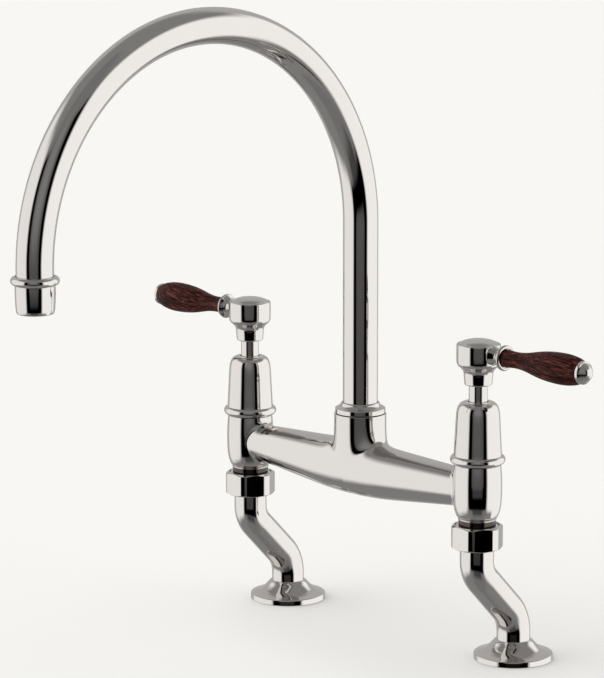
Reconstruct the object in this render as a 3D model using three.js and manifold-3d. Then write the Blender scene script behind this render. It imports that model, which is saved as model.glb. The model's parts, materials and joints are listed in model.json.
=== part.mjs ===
// A bridge kitchen faucet: two quarter-turn valves joined by a hollow bridge, which carries a swivelling
// swan-neck spout and stands on two cranked inlet legs.
//
// Millimetres, +Z up. The origin lies on the deck, under the spout's axis. +X runs along the bridge to the
// cold valve, -X to the hot valve. The spout reaches towards -Y and the legs are cranked back towards +Y.

import * as THREE from 'three';
import { mergeVertices } from 'three/addons/utils/BufferGeometryUtils.js';
import Module from 'manifold-3d';

// ---------------------------------------------------------------- driving dimensions

const VALVE_CENTRES = 203.2; // between the two valve axes, 8 inches
const GAP = 0.3; // left between pieces that meet or turn in each other
const PAST = 1; // how far a cutting solid runs past the face it opens

// Facets
const ROUND = 18; // sides of the large turned pieces
const SMALL_ROUND = 14; // sides of the small and inner turned pieces
const STUD_SIDES = 12; // sides of screws and studs
const HOLE_SIDES = 8; // sides of tie rods, ports and the aerator's holes
const CURVE_STEPS = 3; // chords in each curved stretch of an outline

// Foot flange and the seal let into its underside
const FOOT_RADIUS = 24.6;
const FOOT_RIM = 3.7;
const FOOT_HEIGHT = 12.5;
const FOOT_COLLAR_RADIUS = 10.9;
const FOOT_FLARE_RADIUS = 16.5; // the flare bends from steep to flat round this radius,
const FOOT_FLARE_HEIGHT = 6; // at this height
const INLET_BORE = 8;
const LEG_SPIGOT_LENGTH = 3; // the leg's end that stands in the flange
const LEG_SPIGOT_WALL = 1.6;
const SEAL_INNER = 13;
const SEAL_OUTER = 21;
const SEAL_DEPTH = 1.5;

// Cranked leg
const LEG_RADIUS = 10.45;
const LEG_WALL = 3.2;
const CRANK_OFFSET = 33.5; // the foot's axis lies this far behind the valve's axis
const CRANK_SLOPE = THREE.MathUtils.degToRad(45); // of the middle stretch, from upright
const CRANK_UPPER_BEND = 18;
const CRANK_LOWER_BEND = 23;
const CRANK_FOOT_STRAIGHT = 4.5; // between the flange and the lower bend
const CRANK_HEAD_STRAIGHT = 12.4; // between the upper bend and the union collar
const LEG_COLLAR_RADIUS = 12.9;
const LEG_COLLAR_THICKNESS = 2.5;
const LEG_STEPS = 14;
const LEG_SIDES = 12;
const LEG_BORE_SIDES = 8;

// Union nut, its washer and the valve body's threaded tail
const UNION_THREAD_RADIUS = 13.2; // G 3/4
const UNION_WASHER = 1.5;
const UNION_THREAD_LENGTH = 5.4;
const NUT_ACROSS_FLATS = 29.6;
const NUT_LIP = 3.8;
const NUT_HEIGHT = 14.7;
const NUT_CHAMFER = 2.9;
const NUT_CORNER_TRIM = 1.1;
const NUT_CHAMFER_SIDES = 24;
const NUT_TURN = THREE.MathUtils.degToRad(29); // how far the hexagon's corners stand off the Y axis
const TAIL_NECK_RADIUS = 10.4;
const TAIL_NECK_LENGTH = 4.9;
const TAIL_BORE = 7;

// Valve body: a barrel with a seat for the headwork, and a socket for the bridge arm
const BARREL_HEIGHT = 33.4;
const BARREL_FOOT_RADIUS = 11.4;
const BARREL_BELLY_RADIUS = 15;
const BARREL_WAIST_RADIUS = 14.3;
const BARREL_BELLY_RISE = 19;
const BARREL_ROUNDING = 8;
const SEAT_RISE = 8; // the seat's face above the foot of the barrel
const SEAT_BORE = 5;
const VALVE_NECK_HEIGHT = 11; // the threaded neck that stands inside the shroud
const VALVE_WALL = 3.3;
const ARM_RISE = 17.4; // the bridge arm's axis above the foot of the barrel

// Headwork: the quarter-turn cartridge inside the valve body
const DISC_RADIUS = 7.3;
const DISC_THICKNESS = 3;
const DISC_PORT_RADIUS = 2.3;
const DISC_PORT_OFFSET = 3.9;
const SEAT_SEAL = 1.7;
const SEAT_SEAL_INNER = 5.5;
const HEADWORK_WALL = 1.4;
const HEADWORK_WINDOW = 7; // the side window that lets water into the chamber
const HEADWORK_ROOM = 6; // the space over the discs for the spindle's driver
const HEADWORK_HEX_RADIUS = 11;
const HEADWORK_HEX_HEIGHT = 4.7;
const GLAND_WALL = 2;
const GLAND_HEIGHT = 6.7;
const SPINDLE_RADIUS = 4.7;
const DRIVER_THICKNESS = 3;
const SPINDLE_SEAL_SECTION = 1.6;
const SPINDLE_SEAL_RISE = 8; // over the driver
const CIRCLIP_WIDTH = 1.6;
const CIRCLIP_THICKNESS = 1.2;
const SPLINE_RADIUS = 3.4;
const SPLINE_LENGTH = 14;

// Shroud over the headwork, with its bead
const SHROUD_HEIGHT = 38.6;
const SHROUD_WALL = 1.7;
const SHROUD_TOP_RADIUS = 8.6; // where the rounded shoulder turns level
const SHROUD_SHOULDER_RADIUS = 13.1;
const SHROUD_SHOULDER_DROP = 6.5;
const SHROUD_TOP_THICKNESS = 3.5;
const BEAD_RADIUS = 2.9;
const BEAD_OVERHANG = 2.3; // the bead stands this far proud of the shroud's foot

// Stem and lever hub
const STEM_RADIUS = 5.8;
const STEM_SHOWING = 10.2; // between the shroud and the hub
const STEM_IN_HUB = 11;
const SKIRT_RADIUS = 8.9;
const SKIRT_HEIGHT = 8.4;
const SKIRT_TAPER = 0.5;
const HUB_RADIUS = 13.5;
const HUB_HEIGHT = 25.4; // skirt and hub together, without the cap
const HUB_COVE = 3.4; // height of the hollow curve between the skirt and the hub
const HUB_ROUNDING = 2.4;
const HUB_RIM = 1.2;
const CAP_THICKNESS = 1.1;
const CAP_CROWN = 2.7;
const LEVER_RISE = 19.4; // the lever's axis above the foot of the hub
const HUB_SCREW_RADIUS = 2.2;
const HUB_SCREW_HEAD_RADIUS = 4;
const HUB_SCREW_HEAD = 2.6;
const HUB_SCREW_LENGTH = 17;

// Lever: a metal arm, a turned grip held by a tie rod, and an end cap. Lengths run from the valve's axis.
const ARM_STUD_START = 8.4;
const ARM_STUD_RADIUS = 3;
const ARM_NECK_RADIUS = 4.6;
const FERRULE_RADIUS = 7.8;
const FERRULE_START = 17.6;
const FERRULE_END = 23.2;
const FERRULE_RIM = 2;
const GRIP_END = 84.2;
const GRIP_START_RADIUS = 5.5;
const GRIP_WAIST_RADIUS = 5;
const GRIP_WAIST_AT = 33;
const GRIP_BULGE_RADIUS = 9.5;
const GRIP_BULGE_AT = 68;
const GRIP_END_RADIUS = 6.7;
const GRIP_SWELL = 14; // how far the waist's and the bulge's curves reach along the grip
const GRIP_END_SWELL = 9;
const TIE_ROD_RADIUS = 2.4;
const TIE_ROD_START = 18;
const END_CAP_RADIUS = 6.9;
const END_CAP_RIM = 1.6;
const END_CAP_LENGTH = 6.7;
const END_CAP_NOSE_RADIUS = 3;
const END_CAP_BORE_DEPTH = 3;

// Bridge: two tapering arms that meet under the spout's socket
const ARM_END_RADIUS = 11.9;
const ARM_ROOT_RADIUS = 16.5;
const ARM_DROOP = THREE.MathUtils.degToRad(2);
const ARM_ROOT_HALF_LENGTH = 17; // the stretch under the socket that keeps the full radius
const ARM_ROOT_LAP = 2; // each arm runs this far past the middle, into the other
const WATERWAY_RADIUS = 6;
const SOCKET_RISE = 36.1; // the socket's top above the point where the arms' axes meet
const SOCKET_WALL = 2.2;
const SOCKET_FLARE = 2.2;
const SOCKET_FLARE_RISE = 22; // where the flare starts above that point
const SOCKET_FLOOR = 5; // the socket's bore stops this far below that point

// Spout swivel: spigot, O-rings, retaining ring, bush and the collar that holds them in the socket
const SPOUT_TUBE_RADIUS = 11; // 22 mm tube
const SPOUT_TUBE_WALL = 1.5;
const BUSH_WALL = 1;
const SKIRT_WALL = 1.3; // the collar's threaded skirt
const COLLAR_SKIRT_DEPTH = 11.6;
const COLLAR_SETBACK = 0.6;
const COLLAR_BAND = 3.3;
const COLLAR_CONE = 3.5;
const COLLAR_LIP = 0.6;
const RETAINING_RING_THICKNESS = 1.5;
const RETAINING_RING_WIDTH = 3.6;
const SPIGOT_LENGTH = 13.5; // below the retaining ring
const SPIGOT_SHOULDER = 2.6; // above the retaining ring, up to the tube
const SPIGOT_INSERT = 10; // inside the tube
const SPIGOT_GROOVE = 1.5;
const SPIGOT_BORE = 6.5;
const O_RING_SECTION = 1.2;
const O_RING_PITCH = 5.5;
const LOWEST_O_RING_RISE = 2.2;

// Swan neck
const SPOUT_REACH = 261; // spout axis to outlet axis
const NECK_RISE = 121.1; // the straight riser, from the socket's top to the start of the curve
const NECK_TAIL = 7; // the straight stretch after the curve, down to the end of the tube
const NECK_STEPS = 38;
const NECK_SIDES = 16;
const NECK_BORE_SIDES = 8;

// Outlet: a sleeve with a bead over the tube's end, and the aerator in it
const OUTLET_RADIUS = 11.7;
const OUTLET_LENGTH = 18.2; // below the end of the tube
const OUTLET_OVERLAP = 3.6; // above the end of the tube
const OUTLET_ROUNDING = 1.2;
const OUTLET_WALL = 1.3;
const OUTLET_BEAD_RADIUS = 2.6;
const OUTLET_BEAD_OVERHANG = 2.6;
const AERATOR_HEIGHT = 10;
const AERATOR_WALL = 1.5;
const AERATOR_RECESS = 0.6;
const AERATOR_PLATE = 3;
const AERATOR_HOLE_RADIUS = 1.3;
const AERATOR_HOLE_RING = 4.6;
const AERATOR_HOLES = 6;
const AERATOR_WASHER = 1.6;

// ---------------------------------------------------------------- levels and fits

// Heights above the deck, stacked from the feet up
const level = {};
level.footTop = FOOT_HEIGHT;
level.legFoot = level.footTop + GAP;
level.lowerBend = level.legFoot + CRANK_FOOT_STRAIGHT;
const crankRun = (CRANK_UPPER_BEND + CRANK_LOWER_BEND) * (1 - Math.cos(CRANK_SLOPE));
const slopeLength = (CRANK_OFFSET - crankRun) / Math.sin(CRANK_SLOPE);
const crankHeight =
  (CRANK_UPPER_BEND + CRANK_LOWER_BEND) * Math.sin(CRANK_SLOPE) + slopeLength * Math.cos(CRANK_SLOPE);
level.upperBend = level.lowerBend + crankHeight;
level.legHead = level.upperBend + CRANK_HEAD_STRAIGHT;
level.collarTop = level.legHead + LEG_COLLAR_THICKNESS;
level.tail = level.collarTop + GAP + UNION_WASHER + GAP;
level.threadTop = level.tail + UNION_THREAD_LENGTH;
level.barrel = level.threadTop + TAIL_NECK_LENGTH;
level.nut = level.legHead - GAP - NUT_LIP;
level.seat = level.barrel + SEAT_RISE;
level.arm = level.barrel + ARM_RISE;
level.barrelTop = level.barrel + BARREL_HEIGHT;
level.valveNeck = level.barrelTop + VALVE_NECK_HEIGHT;
level.shroud = level.barrelTop + GAP;
level.shroudTop = level.shroud + SHROUD_HEIGHT;
level.fixedDisc = level.seat + GAP + SEAT_SEAL + GAP;
level.movingDisc = level.fixedDisc + DISC_THICKNESS + GAP;
level.driver = level.movingDisc + DISC_THICKNESS + GAP;
level.headworkHex = level.valveNeck + GAP;
level.gland = level.headworkHex + HEADWORK_HEX_HEIGHT;
level.glandTop = level.gland + GLAND_HEIGHT;
level.stem = level.glandTop + GAP + CIRCLIP_THICKNESS + GAP;
level.hub = level.shroudTop + STEM_SHOWING;
level.stemTop = level.hub + STEM_IN_HUB;
level.lever = level.hub + LEVER_RISE;
level.hubRim = level.hub + HUB_HEIGHT;

const VALVE_X = VALVE_CENTRES / 2;

// The arms droop from the valves to the middle of the bridge
level.bridge = level.arm - VALVE_X * Math.tan(ARM_DROOP);
level.socketTop = level.bridge + SOCKET_RISE;
level.skirtFoot = level.socketTop - COLLAR_SKIRT_DEPTH;
level.retainingRing = level.skirtFoot - GAP - RETAINING_RING_THICKNESS;
level.socketStep = level.retainingRing - GAP;
level.spigot = level.socketStep - SPIGOT_LENGTH;
level.tubeFoot = level.skirtFoot + SPIGOT_SHOULDER + GAP;
level.neckCentre = level.socketTop + NECK_RISE;
level.tubeTip = level.neckCentre - NECK_TAIL;
level.outlet = level.tubeTip - OUTLET_LENGTH;

// Radii that follow from what a piece holds or turns in
const legBore = LEG_RADIUS - LEG_WALL;
const headworkChamber = DISC_RADIUS + GAP;
const headworkRadius = headworkChamber + HEADWORK_WALL;
const valveChamber = headworkRadius + GAP;
const valveNeckRadius = valveChamber + VALVE_WALL;
const shroudBore = valveNeckRadius + GAP;
const shroudFootRadius = shroudBore + SHROUD_WALL;
const spindleBore = SPINDLE_RADIUS + GAP;
const glandRadius = spindleBore + GLAND_WALL;
const stemBore = SPLINE_RADIUS + GAP;
const hubBore = STEM_RADIUS + GAP;
const hubScrewBore = HUB_SCREW_RADIUS + GAP;
const capRadius = HUB_RADIUS - HUB_RIM - GAP;
const tieRodBore = TIE_ROD_RADIUS + GAP;
const tubeBore = SPOUT_TUBE_RADIUS - SPOUT_TUBE_WALL;
const swivelBore = SPOUT_TUBE_RADIUS + GAP;
const bushRadius = swivelBore + BUSH_WALL;
const skirtBore = bushRadius + GAP;
const skirtRadius = skirtBore + SKIRT_WALL;
const socketMouth = skirtRadius + GAP;
const socketRadius = socketMouth + SOCKET_WALL;
const collarRadius = socketRadius - COLLAR_SETBACK;
const grooveRadius = SPOUT_TUBE_RADIUS - SPIGOT_GROOVE;
const outletBore = OUTLET_RADIUS - OUTLET_WALL;

// ---------------------------------------------------------------- finishes

const FINISHES = {
  nickel: { color: 0xcfccc7, roughness: 0.08, metalness: 1 },
  brass: { color: 0xb08d57, roughness: 0.35, metalness: 1 },
  steel: { color: 0x9c9d9f, roughness: 0.3, metalness: 1 },
  rosewood: { color: 0x4a211b, roughness: 0.45, metalness: 0 },
  ceramic: { color: 0xeeeae2, roughness: 0.25, metalness: 0 },
  rubber: { color: 0x1c1c1c, roughness: 0.8, metalness: 0 },
  fibre: { color: 0x7a2f22, roughness: 0.9, metalness: 0 },
  acetal: { color: 0xe4e2dc, roughness: 0.5, metalness: 0 },
};

function piece(name, geometry, finish) {
  const mesh = new THREE.Mesh(geometry, new THREE.MeshStandardMaterial(FINISHES[finish]));
  mesh.name = name;
  return mesh;
}

// ---------------------------------------------------------------- solids

const wasm = await Module();
wasm.setup();

// Turns an outline of radius and height about the Z axis
function turned(outline, sides = ROUND, steps = CURVE_STEPS) {
  const points = outline.getPoints(steps);
  if (THREE.ShapeUtils.isClockWise(points)) points.reverse();
  return new THREE.LatheGeometry(points, sides).rotateX(Math.PI / 2);
}

function start(radius, height) {
  return new THREE.Path().moveTo(radius, height);
}

function ring(inner, outer, bottom, top, sides = SMALL_ROUND) {
  const outline = start(inner, bottom).lineTo(outer, bottom).lineTo(outer, top).lineTo(inner, top);
  return turned(outline.lineTo(inner, bottom), sides);
}

function rod(radius, bottom, top, sides = SMALL_ROUND) {
  return turned(start(0, bottom).lineTo(radius, bottom).lineTo(radius, top).lineTo(0, top), sides);
}

// An O-ring, its round section drawn with six sides
function oRing(inner, section, bottom) {
  const radius = section / 2;
  const outline = start(inner + section, bottom + radius);
  return turned(outline.absarc(inner + radius, bottom + radius, radius, 0, 2 * Math.PI), SMALL_ROUND, 3);
}

// Lays a turned piece down, so that its axis runs along +X
function laid(geometry) {
  return geometry.rotateY(Math.PI / 2);
}

function toSolid(geometry) {
  const bare = new THREE.BufferGeometry();
  bare.setAttribute('position', geometry.getAttribute('position'));
  if (geometry.index) bare.setIndex(geometry.index);
  const merged = mergeVertices(bare);
  const corners = merged.index.array;
  const triangles = [];
  for (let i = 0; i < corners.length; i += 3) {
    const [a, b, c] = corners.slice(i, i + 3);
    if (a !== b && b !== c && c !== a) triangles.push(a, b, c);
  }
  return new wasm.Manifold(
    new wasm.Mesh({
      numProp: 3,
      vertProperties: new Float32Array(merged.getAttribute('position').array),
      triVerts: new Uint32Array(triangles),
    }),
  );
}

function toGeometry(solid) {
  const mesh = solid.getMesh();
  const geometry = new THREE.BufferGeometry();
  geometry.setAttribute('position', new THREE.BufferAttribute(mesh.vertProperties, mesh.numProp));
  geometry.setIndex(new THREE.BufferAttribute(mesh.triVerts, 1));
  geometry.computeVertexNormals();
  return geometry;
}

// Joins the geometries of the first list and cuts those of the second out of them
function carved(added, removed) {
  let solid = toSolid(added[0]);
  for (const geometry of added.slice(1)) solid = solid.add(toSolid(geometry));
  for (const geometry of removed) solid = solid.subtract(toSolid(geometry));
  return toGeometry(solid);
}

function circle(radius, sides) {
  const points = [];
  for (let i = 0; i < sides; i += 1) {
    const angle = (i * 2 * Math.PI) / sides;
    points.push(new THREE.Vector2(radius * Math.cos(angle), radius * Math.sin(angle)));
  }
  return points;
}

// A bent tube. The few flats of its bore lie outside the bore's circle, so that a round piece fits in it.
function tube(path, radius, bore, sides, boreSides, steps) {
  const section = new THREE.Shape(circle(radius, sides));
  section.holes.push(new THREE.Path(circle(bore / Math.cos(Math.PI / boreSides), boreSides)));
  return new THREE.ExtrudeGeometry(section, { extrudePath: path, steps, bevelEnabled: false });
}

// A path in the YZ plane, drawn by a pen that runs straight and turns
class BentPath extends THREE.CurvePath {
  constructor(y, z, heading) {
    super();
    this.pen = new THREE.Vector3(0, y, z);
    this.heading = heading; // radians from +Y towards +Z
  }

  direction(angle = this.heading) {
    return new THREE.Vector3(0, Math.cos(angle), Math.sin(angle));
  }

  straight(length) {
    const end = this.pen.clone().addScaledVector(this.direction(), length);
    this.add(new THREE.LineCurve3(this.pen, end));
    this.pen = end;
    return this;
  }

  turn(radius, angle) {
    const side = (Math.sign(angle) * Math.PI) / 2;
    const centre = this.pen.clone().addScaledVector(this.direction(this.heading + side), radius);
    const arc = new THREE.Curve();
    const from = this.heading - side;
    arc.getPoint = (t) => centre.clone().addScaledVector(this.direction(from + t * angle), radius);
    this.add(arc);
    this.pen = arc.getPoint(1);
    this.heading += angle;
    return this;
  }
}

// ---------------------------------------------------------------- bridge

// Both arms lie along X, each drooping from its valve to the middle
function bridgeArm(turnAboutZ, outline) {
  const geometry = laid(turned(outline));
  return geometry.rotateY(-ARM_DROOP).rotateZ(turnAboutZ).translate(0, 0, level.bridge);
}

function bridgeBody() {
  const armEnd = VALVE_X / Math.cos(ARM_DROOP);
  const arm = start(0, -ARM_ROOT_LAP).lineTo(ARM_ROOT_RADIUS, -ARM_ROOT_LAP);
  arm.lineTo(ARM_ROOT_RADIUS, ARM_ROOT_HALF_LENGTH);
  arm.lineTo(ARM_END_RADIUS, armEnd).lineTo(0, armEnd);
  const waterway = start(0, 0).lineTo(WATERWAY_RADIUS, 0).lineTo(WATERWAY_RADIUS, armEnd + PAST);
  waterway.lineTo(0, armEnd + PAST);

  const flare = level.bridge + SOCKET_FLARE_RISE;
  const socket = start(0, level.bridge).lineTo(socketRadius + SOCKET_FLARE, level.bridge);
  socket.quadraticCurveTo(socketRadius, level.bridge + ARM_ROOT_RADIUS, socketRadius, flare);
  socket.lineTo(socketRadius, level.socketTop).lineTo(0, level.socketTop);

  const bore = start(0, level.bridge - SOCKET_FLOOR).lineTo(swivelBore, level.bridge - SOCKET_FLOOR);
  bore.lineTo(swivelBore, level.socketStep).lineTo(socketMouth, level.socketStep);
  bore.lineTo(socketMouth, level.socketTop + PAST).lineTo(0, level.socketTop + PAST);

  const added = [turned(socket)];
  const removed = [turned(bore)];
  for (const side of [0, Math.PI]) {
    added.push(bridgeArm(side, arm));
    removed.push(bridgeArm(side, waterway));
    removed.push(turned(barrelOutline(GAP)).translate(Math.cos(side) * VALVE_X, 0, 0));
  }
  return piece('bridge_body', carved(added, removed), 'nickel');
}

// ---------------------------------------------------------------- valve, on its own axis, lever along +X

// The outside of the barrel, swollen by an allowance where another piece is cut to meet it
function barrelOutline(allowance) {
  const belly = BARREL_BELLY_RADIUS + allowance;
  const bellyHeight = level.barrel + BARREL_BELLY_RISE;
  const outline = start(0, level.barrel - allowance);
  outline.lineTo(BARREL_FOOT_RADIUS, level.barrel - allowance);
  outline.quadraticCurveTo(belly - allowance, level.barrel, belly, level.barrel + BARREL_ROUNDING);
  outline.lineTo(belly, bellyHeight);
  outline.lineTo(BARREL_WAIST_RADIUS + allowance, level.barrelTop);
  return outline.lineTo(0, level.barrelTop);
}

function valveBody(name) {
  const tail = start(0, level.tail).lineTo(UNION_THREAD_RADIUS, level.tail);
  tail.lineTo(UNION_THREAD_RADIUS, level.threadTop).lineTo(TAIL_NECK_RADIUS, level.threadTop);
  tail.lineTo(TAIL_NECK_RADIUS, level.seat).lineTo(0, level.seat);
  const neck = rod(valveNeckRadius, level.seat, level.valveNeck, ROUND);

  const bore = start(0, level.tail - PAST).lineTo(TAIL_BORE, level.tail - PAST);
  bore.lineTo(TAIL_BORE, level.barrel).lineTo(SEAT_BORE, level.seat);
  bore.lineTo(valveChamber, level.seat).lineTo(valveChamber, level.valveNeck + PAST);
  bore.lineTo(0, level.valveNeck + PAST);

  const port = rod(WATERWAY_RADIUS, 0, BARREL_BELLY_RADIUS + PAST).rotateY(-Math.PI / 2);
  const solid = carved(
    [turned(barrelOutline(0)), turned(tail), neck],
    [turned(bore), port.translate(0, 0, level.arm)],
  );
  return piece(name, solid, 'nickel');
}

function headwork(name) {
  const windowFloor = level.driver;
  const body = start(0, level.fixedDisc).lineTo(headworkRadius, level.fixedDisc);
  body.lineTo(headworkRadius, level.headworkHex + PAST).lineTo(glandRadius, level.headworkHex + PAST);
  body.lineTo(glandRadius, level.glandTop).lineTo(0, level.glandTop);

  const chamberTop = level.driver + HEADWORK_ROOM;
  const bore = start(0, level.fixedDisc - PAST).lineTo(headworkChamber, level.fixedDisc - PAST);
  bore.lineTo(headworkChamber, chamberTop).lineTo(spindleBore, chamberTop);
  bore.lineTo(spindleBore, level.glandTop + PAST).lineTo(0, level.glandTop + PAST);

  const span = 2 * (headworkRadius + PAST);
  const window = new THREE.BoxGeometry(span, HEADWORK_WINDOW, HEADWORK_ROOM);
  window.translate(0, 0, windowFloor + HEADWORK_ROOM / 2);
  const hexagon = turned(
    start(0, level.headworkHex)
      .lineTo(HEADWORK_HEX_RADIUS, level.headworkHex)
      .lineTo(HEADWORK_HEX_RADIUS, level.gland)
      .lineTo(0, level.gland),
    6,
  );
  const solid = carved([turned(body, SMALL_ROUND), hexagon], [turned(bore, SMALL_ROUND), window]);
  return piece(name, solid, 'brass');
}

// A ceramic disc with two ports, which line up with the other disc's when the lever is turned
function disc(name, bottom, turn) {
  const ports = [-1, 1].map((side) => {
    const port = rod(DISC_PORT_RADIUS, bottom - PAST, bottom + DISC_THICKNESS + PAST, HOLE_SIDES);
    return port.translate(side * DISC_PORT_OFFSET, 0, 0);
  });
  const plate = rod(DISC_RADIUS, bottom, bottom + DISC_THICKNESS);
  return piece(name, carved([plate], ports).rotateZ(turn), 'ceramic');
}

function spindle(name) {
  const driverTop = level.driver + DRIVER_THICKNESS;
  const seal = driverTop + SPINDLE_SEAL_RISE;
  const sealTop = seal + SPINDLE_SEAL_SECTION + 2 * GAP;
  const sealGroove = SPINDLE_RADIUS - SPINDLE_SEAL_SECTION - GAP;
  const clipGroove = SPLINE_RADIUS - GAP;
  const outline = start(0, level.driver).lineTo(DISC_RADIUS, level.driver).lineTo(DISC_RADIUS, driverTop);
  outline.lineTo(SPINDLE_RADIUS, driverTop).lineTo(SPINDLE_RADIUS, seal).lineTo(sealGroove, seal);
  outline.lineTo(sealGroove, sealTop).lineTo(SPINDLE_RADIUS, sealTop).lineTo(SPINDLE_RADIUS, level.glandTop);
  outline.lineTo(clipGroove, level.glandTop).lineTo(clipGroove, level.stem - GAP);
  outline.lineTo(SPLINE_RADIUS, level.stem).lineTo(SPLINE_RADIUS, level.stem + SPLINE_LENGTH);
  return piece(name, turned(outline.lineTo(0, level.stem + SPLINE_LENGTH), SMALL_ROUND), 'brass');
}

function spindleSeal(name) {
  const bottom = level.driver + DRIVER_THICKNESS + SPINDLE_SEAL_RISE + GAP;
  return piece(name, oRing(SPINDLE_RADIUS - SPINDLE_SEAL_SECTION, SPINDLE_SEAL_SECTION, bottom), 'rubber');
}

function circlip(name) {
  const bottom = level.glandTop + GAP;
  const clip = ring(SPLINE_RADIUS, SPLINE_RADIUS + CIRCLIP_WIDTH, bottom, bottom + CIRCLIP_THICKNESS);
  return piece(name, clip, 'steel');
}

function shroud(name) {
  const ceiling = level.shroudTop - SHROUD_TOP_THICKNESS;
  const beadTop = level.shroud + 2 * BEAD_RADIUS;
  const beadRim = shroudFootRadius + BEAD_OVERHANG;
  const shoulder = level.shroudTop - SHROUD_SHOULDER_DROP;
  const stemHole = STEM_RADIUS + GAP;
  const outline = start(shroudBore, level.shroud).lineTo(beadRim - BEAD_RADIUS, level.shroud);
  outline.absarc(beadRim - BEAD_RADIUS, level.shroud + BEAD_RADIUS, BEAD_RADIUS, -Math.PI / 2, Math.PI / 2);
  outline.lineTo(shroudFootRadius - GAP, beadTop).lineTo(SHROUD_SHOULDER_RADIUS, shoulder);
  outline.quadraticCurveTo(SHROUD_SHOULDER_RADIUS, level.shroudTop, SHROUD_TOP_RADIUS, level.shroudTop);
  outline.lineTo(stemHole, level.shroudTop).lineTo(stemHole, ceiling);
  outline.lineTo(SHROUD_SHOULDER_RADIUS - SHROUD_WALL, ceiling);
  outline.lineTo(SHROUD_SHOULDER_RADIUS - SHROUD_WALL, level.gland).lineTo(shroudBore, level.valveNeck);
  return piece(name, turned(outline.closePath(), ROUND, 2), 'nickel');
}

function seatSeal(name) {
  const bottom = level.seat + GAP;
  return piece(name, ring(SEAT_SEAL_INNER, headworkRadius - GAP, bottom, bottom + SEAT_SEAL), 'rubber');
}

function leverStem(name) {
  const splineRoom = level.stem + SPLINE_LENGTH + GAP;
  const outline = start(stemBore, level.stem).lineTo(STEM_RADIUS, level.stem);
  outline.lineTo(STEM_RADIUS, level.stemTop).lineTo(hubScrewBore, level.stemTop);
  outline.lineTo(hubScrewBore, splineRoom).lineTo(stemBore, splineRoom);
  return piece(name, turned(outline.closePath(), SMALL_ROUND), 'nickel');
}

// The screw's head sits in the pocket under the cap
function hubScrewHead() {
  return level.hubRim - CAP_THICKNESS - 2 * GAP - HUB_SCREW_HEAD;
}

function hubScrewFoot() {
  return hubScrewHead() - HUB_SCREW_LENGTH;
}

function hubOutline(allowance) {
  const skirtTop = level.hub + SKIRT_HEIGHT;
  const radius = HUB_RADIUS + allowance;
  const coveTop = skirtTop + HUB_COVE;
  const outline = start(0, level.hub).lineTo(SKIRT_RADIUS - SKIRT_TAPER, level.hub);
  outline.lineTo(SKIRT_RADIUS, skirtTop);
  outline.quadraticCurveTo(SKIRT_RADIUS, coveTop - GAP, radius - HUB_ROUNDING, coveTop);
  outline.quadraticCurveTo(radius, coveTop, radius, coveTop + HUB_ROUNDING);
  outline.lineTo(radius, level.hubRim - HUB_RIM).lineTo(radius - HUB_RIM / 2, level.hubRim);
  return outline.lineTo(0, level.hubRim);
}

function leverHub(name) {
  const webFloor = level.stemTop + GAP;
  const headSeat = hubScrewHead() - GAP;
  const capSeat = level.hubRim - CAP_THICKNESS - GAP;
  const headRoom = HUB_SCREW_HEAD_RADIUS + GAP;
  const bore = start(0, level.hub - PAST).lineTo(hubBore, level.hub - PAST).lineTo(hubBore, webFloor);
  bore.lineTo(hubScrewBore, webFloor).lineTo(hubScrewBore, headSeat).lineTo(headRoom, headSeat);
  bore.lineTo(headRoom, capSeat).lineTo(capRadius + GAP, capSeat);
  bore.lineTo(capRadius + GAP, level.hubRim + PAST).lineTo(0, level.hubRim + PAST);
  const studHole = laid(rod(ARM_STUD_RADIUS + GAP, ARM_STUD_START - GAP, HUB_RADIUS + PAST, STUD_SIDES));
  studHole.translate(0, 0, level.lever);
  return piece(name, carved([turned(hubOutline(0))], [turned(bore, SMALL_ROUND), studHole]), 'nickel');
}

function hubScrew(name) {
  const head = hubScrewHead();
  const outline = start(0, hubScrewFoot()).lineTo(HUB_SCREW_RADIUS, hubScrewFoot());
  outline.lineTo(HUB_SCREW_RADIUS, head).lineTo(HUB_SCREW_HEAD_RADIUS, head);
  outline.lineTo(HUB_SCREW_HEAD_RADIUS, head + HUB_SCREW_HEAD).lineTo(0, head + HUB_SCREW_HEAD);
  return piece(name, turned(outline, STUD_SIDES), 'steel');
}

function hubCap(name) {
  const bottom = level.hubRim - CAP_THICKNESS;
  const crown = level.hubRim + CAP_CROWN;
  const outline = start(0, bottom).lineTo(capRadius, bottom).lineTo(capRadius, level.hubRim);
  outline.quadraticCurveTo(capRadius / 2, crown, 0, crown);
  return piece(name, turned(outline), 'nickel');
}

// The metal arm: a stud in the hub, a round neck and the ferrule that holds the grip
function leverArm(name) {
  const rimStart = FERRULE_END - FERRULE_RIM;
  const neck = start(0, ARM_STUD_START + PAST).lineTo(ARM_NECK_RADIUS, ARM_STUD_START + PAST);
  neck.lineTo(ARM_NECK_RADIUS, FERRULE_START);
  const rimBulge = FERRULE_RIM / 4;
  neck.quadraticCurveTo(ARM_NECK_RADIUS, rimStart, FERRULE_RADIUS - rimBulge, rimStart);
  neck.quadraticCurveTo(FERRULE_RADIUS + rimBulge, rimStart + FERRULE_RIM / 2, FERRULE_RADIUS, FERRULE_END);
  neck.lineTo(tieRodBore, FERRULE_END).lineTo(tieRodBore, TIE_ROD_START).lineTo(0, TIE_ROD_START);
  const shank = laid(turned(neck, SMALL_ROUND, 2)).translate(0, 0, level.lever);
  const stud = laid(rod(ARM_STUD_RADIUS, ARM_STUD_START, FERRULE_START - GAP, STUD_SIDES));
  stud.translate(0, 0, level.lever);
  const shaped = toSolid(shank).subtract(toSolid(turned(hubOutline(GAP)))).add(toSolid(stud));
  return piece(name, toGeometry(shaped), 'nickel');
}

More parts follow.
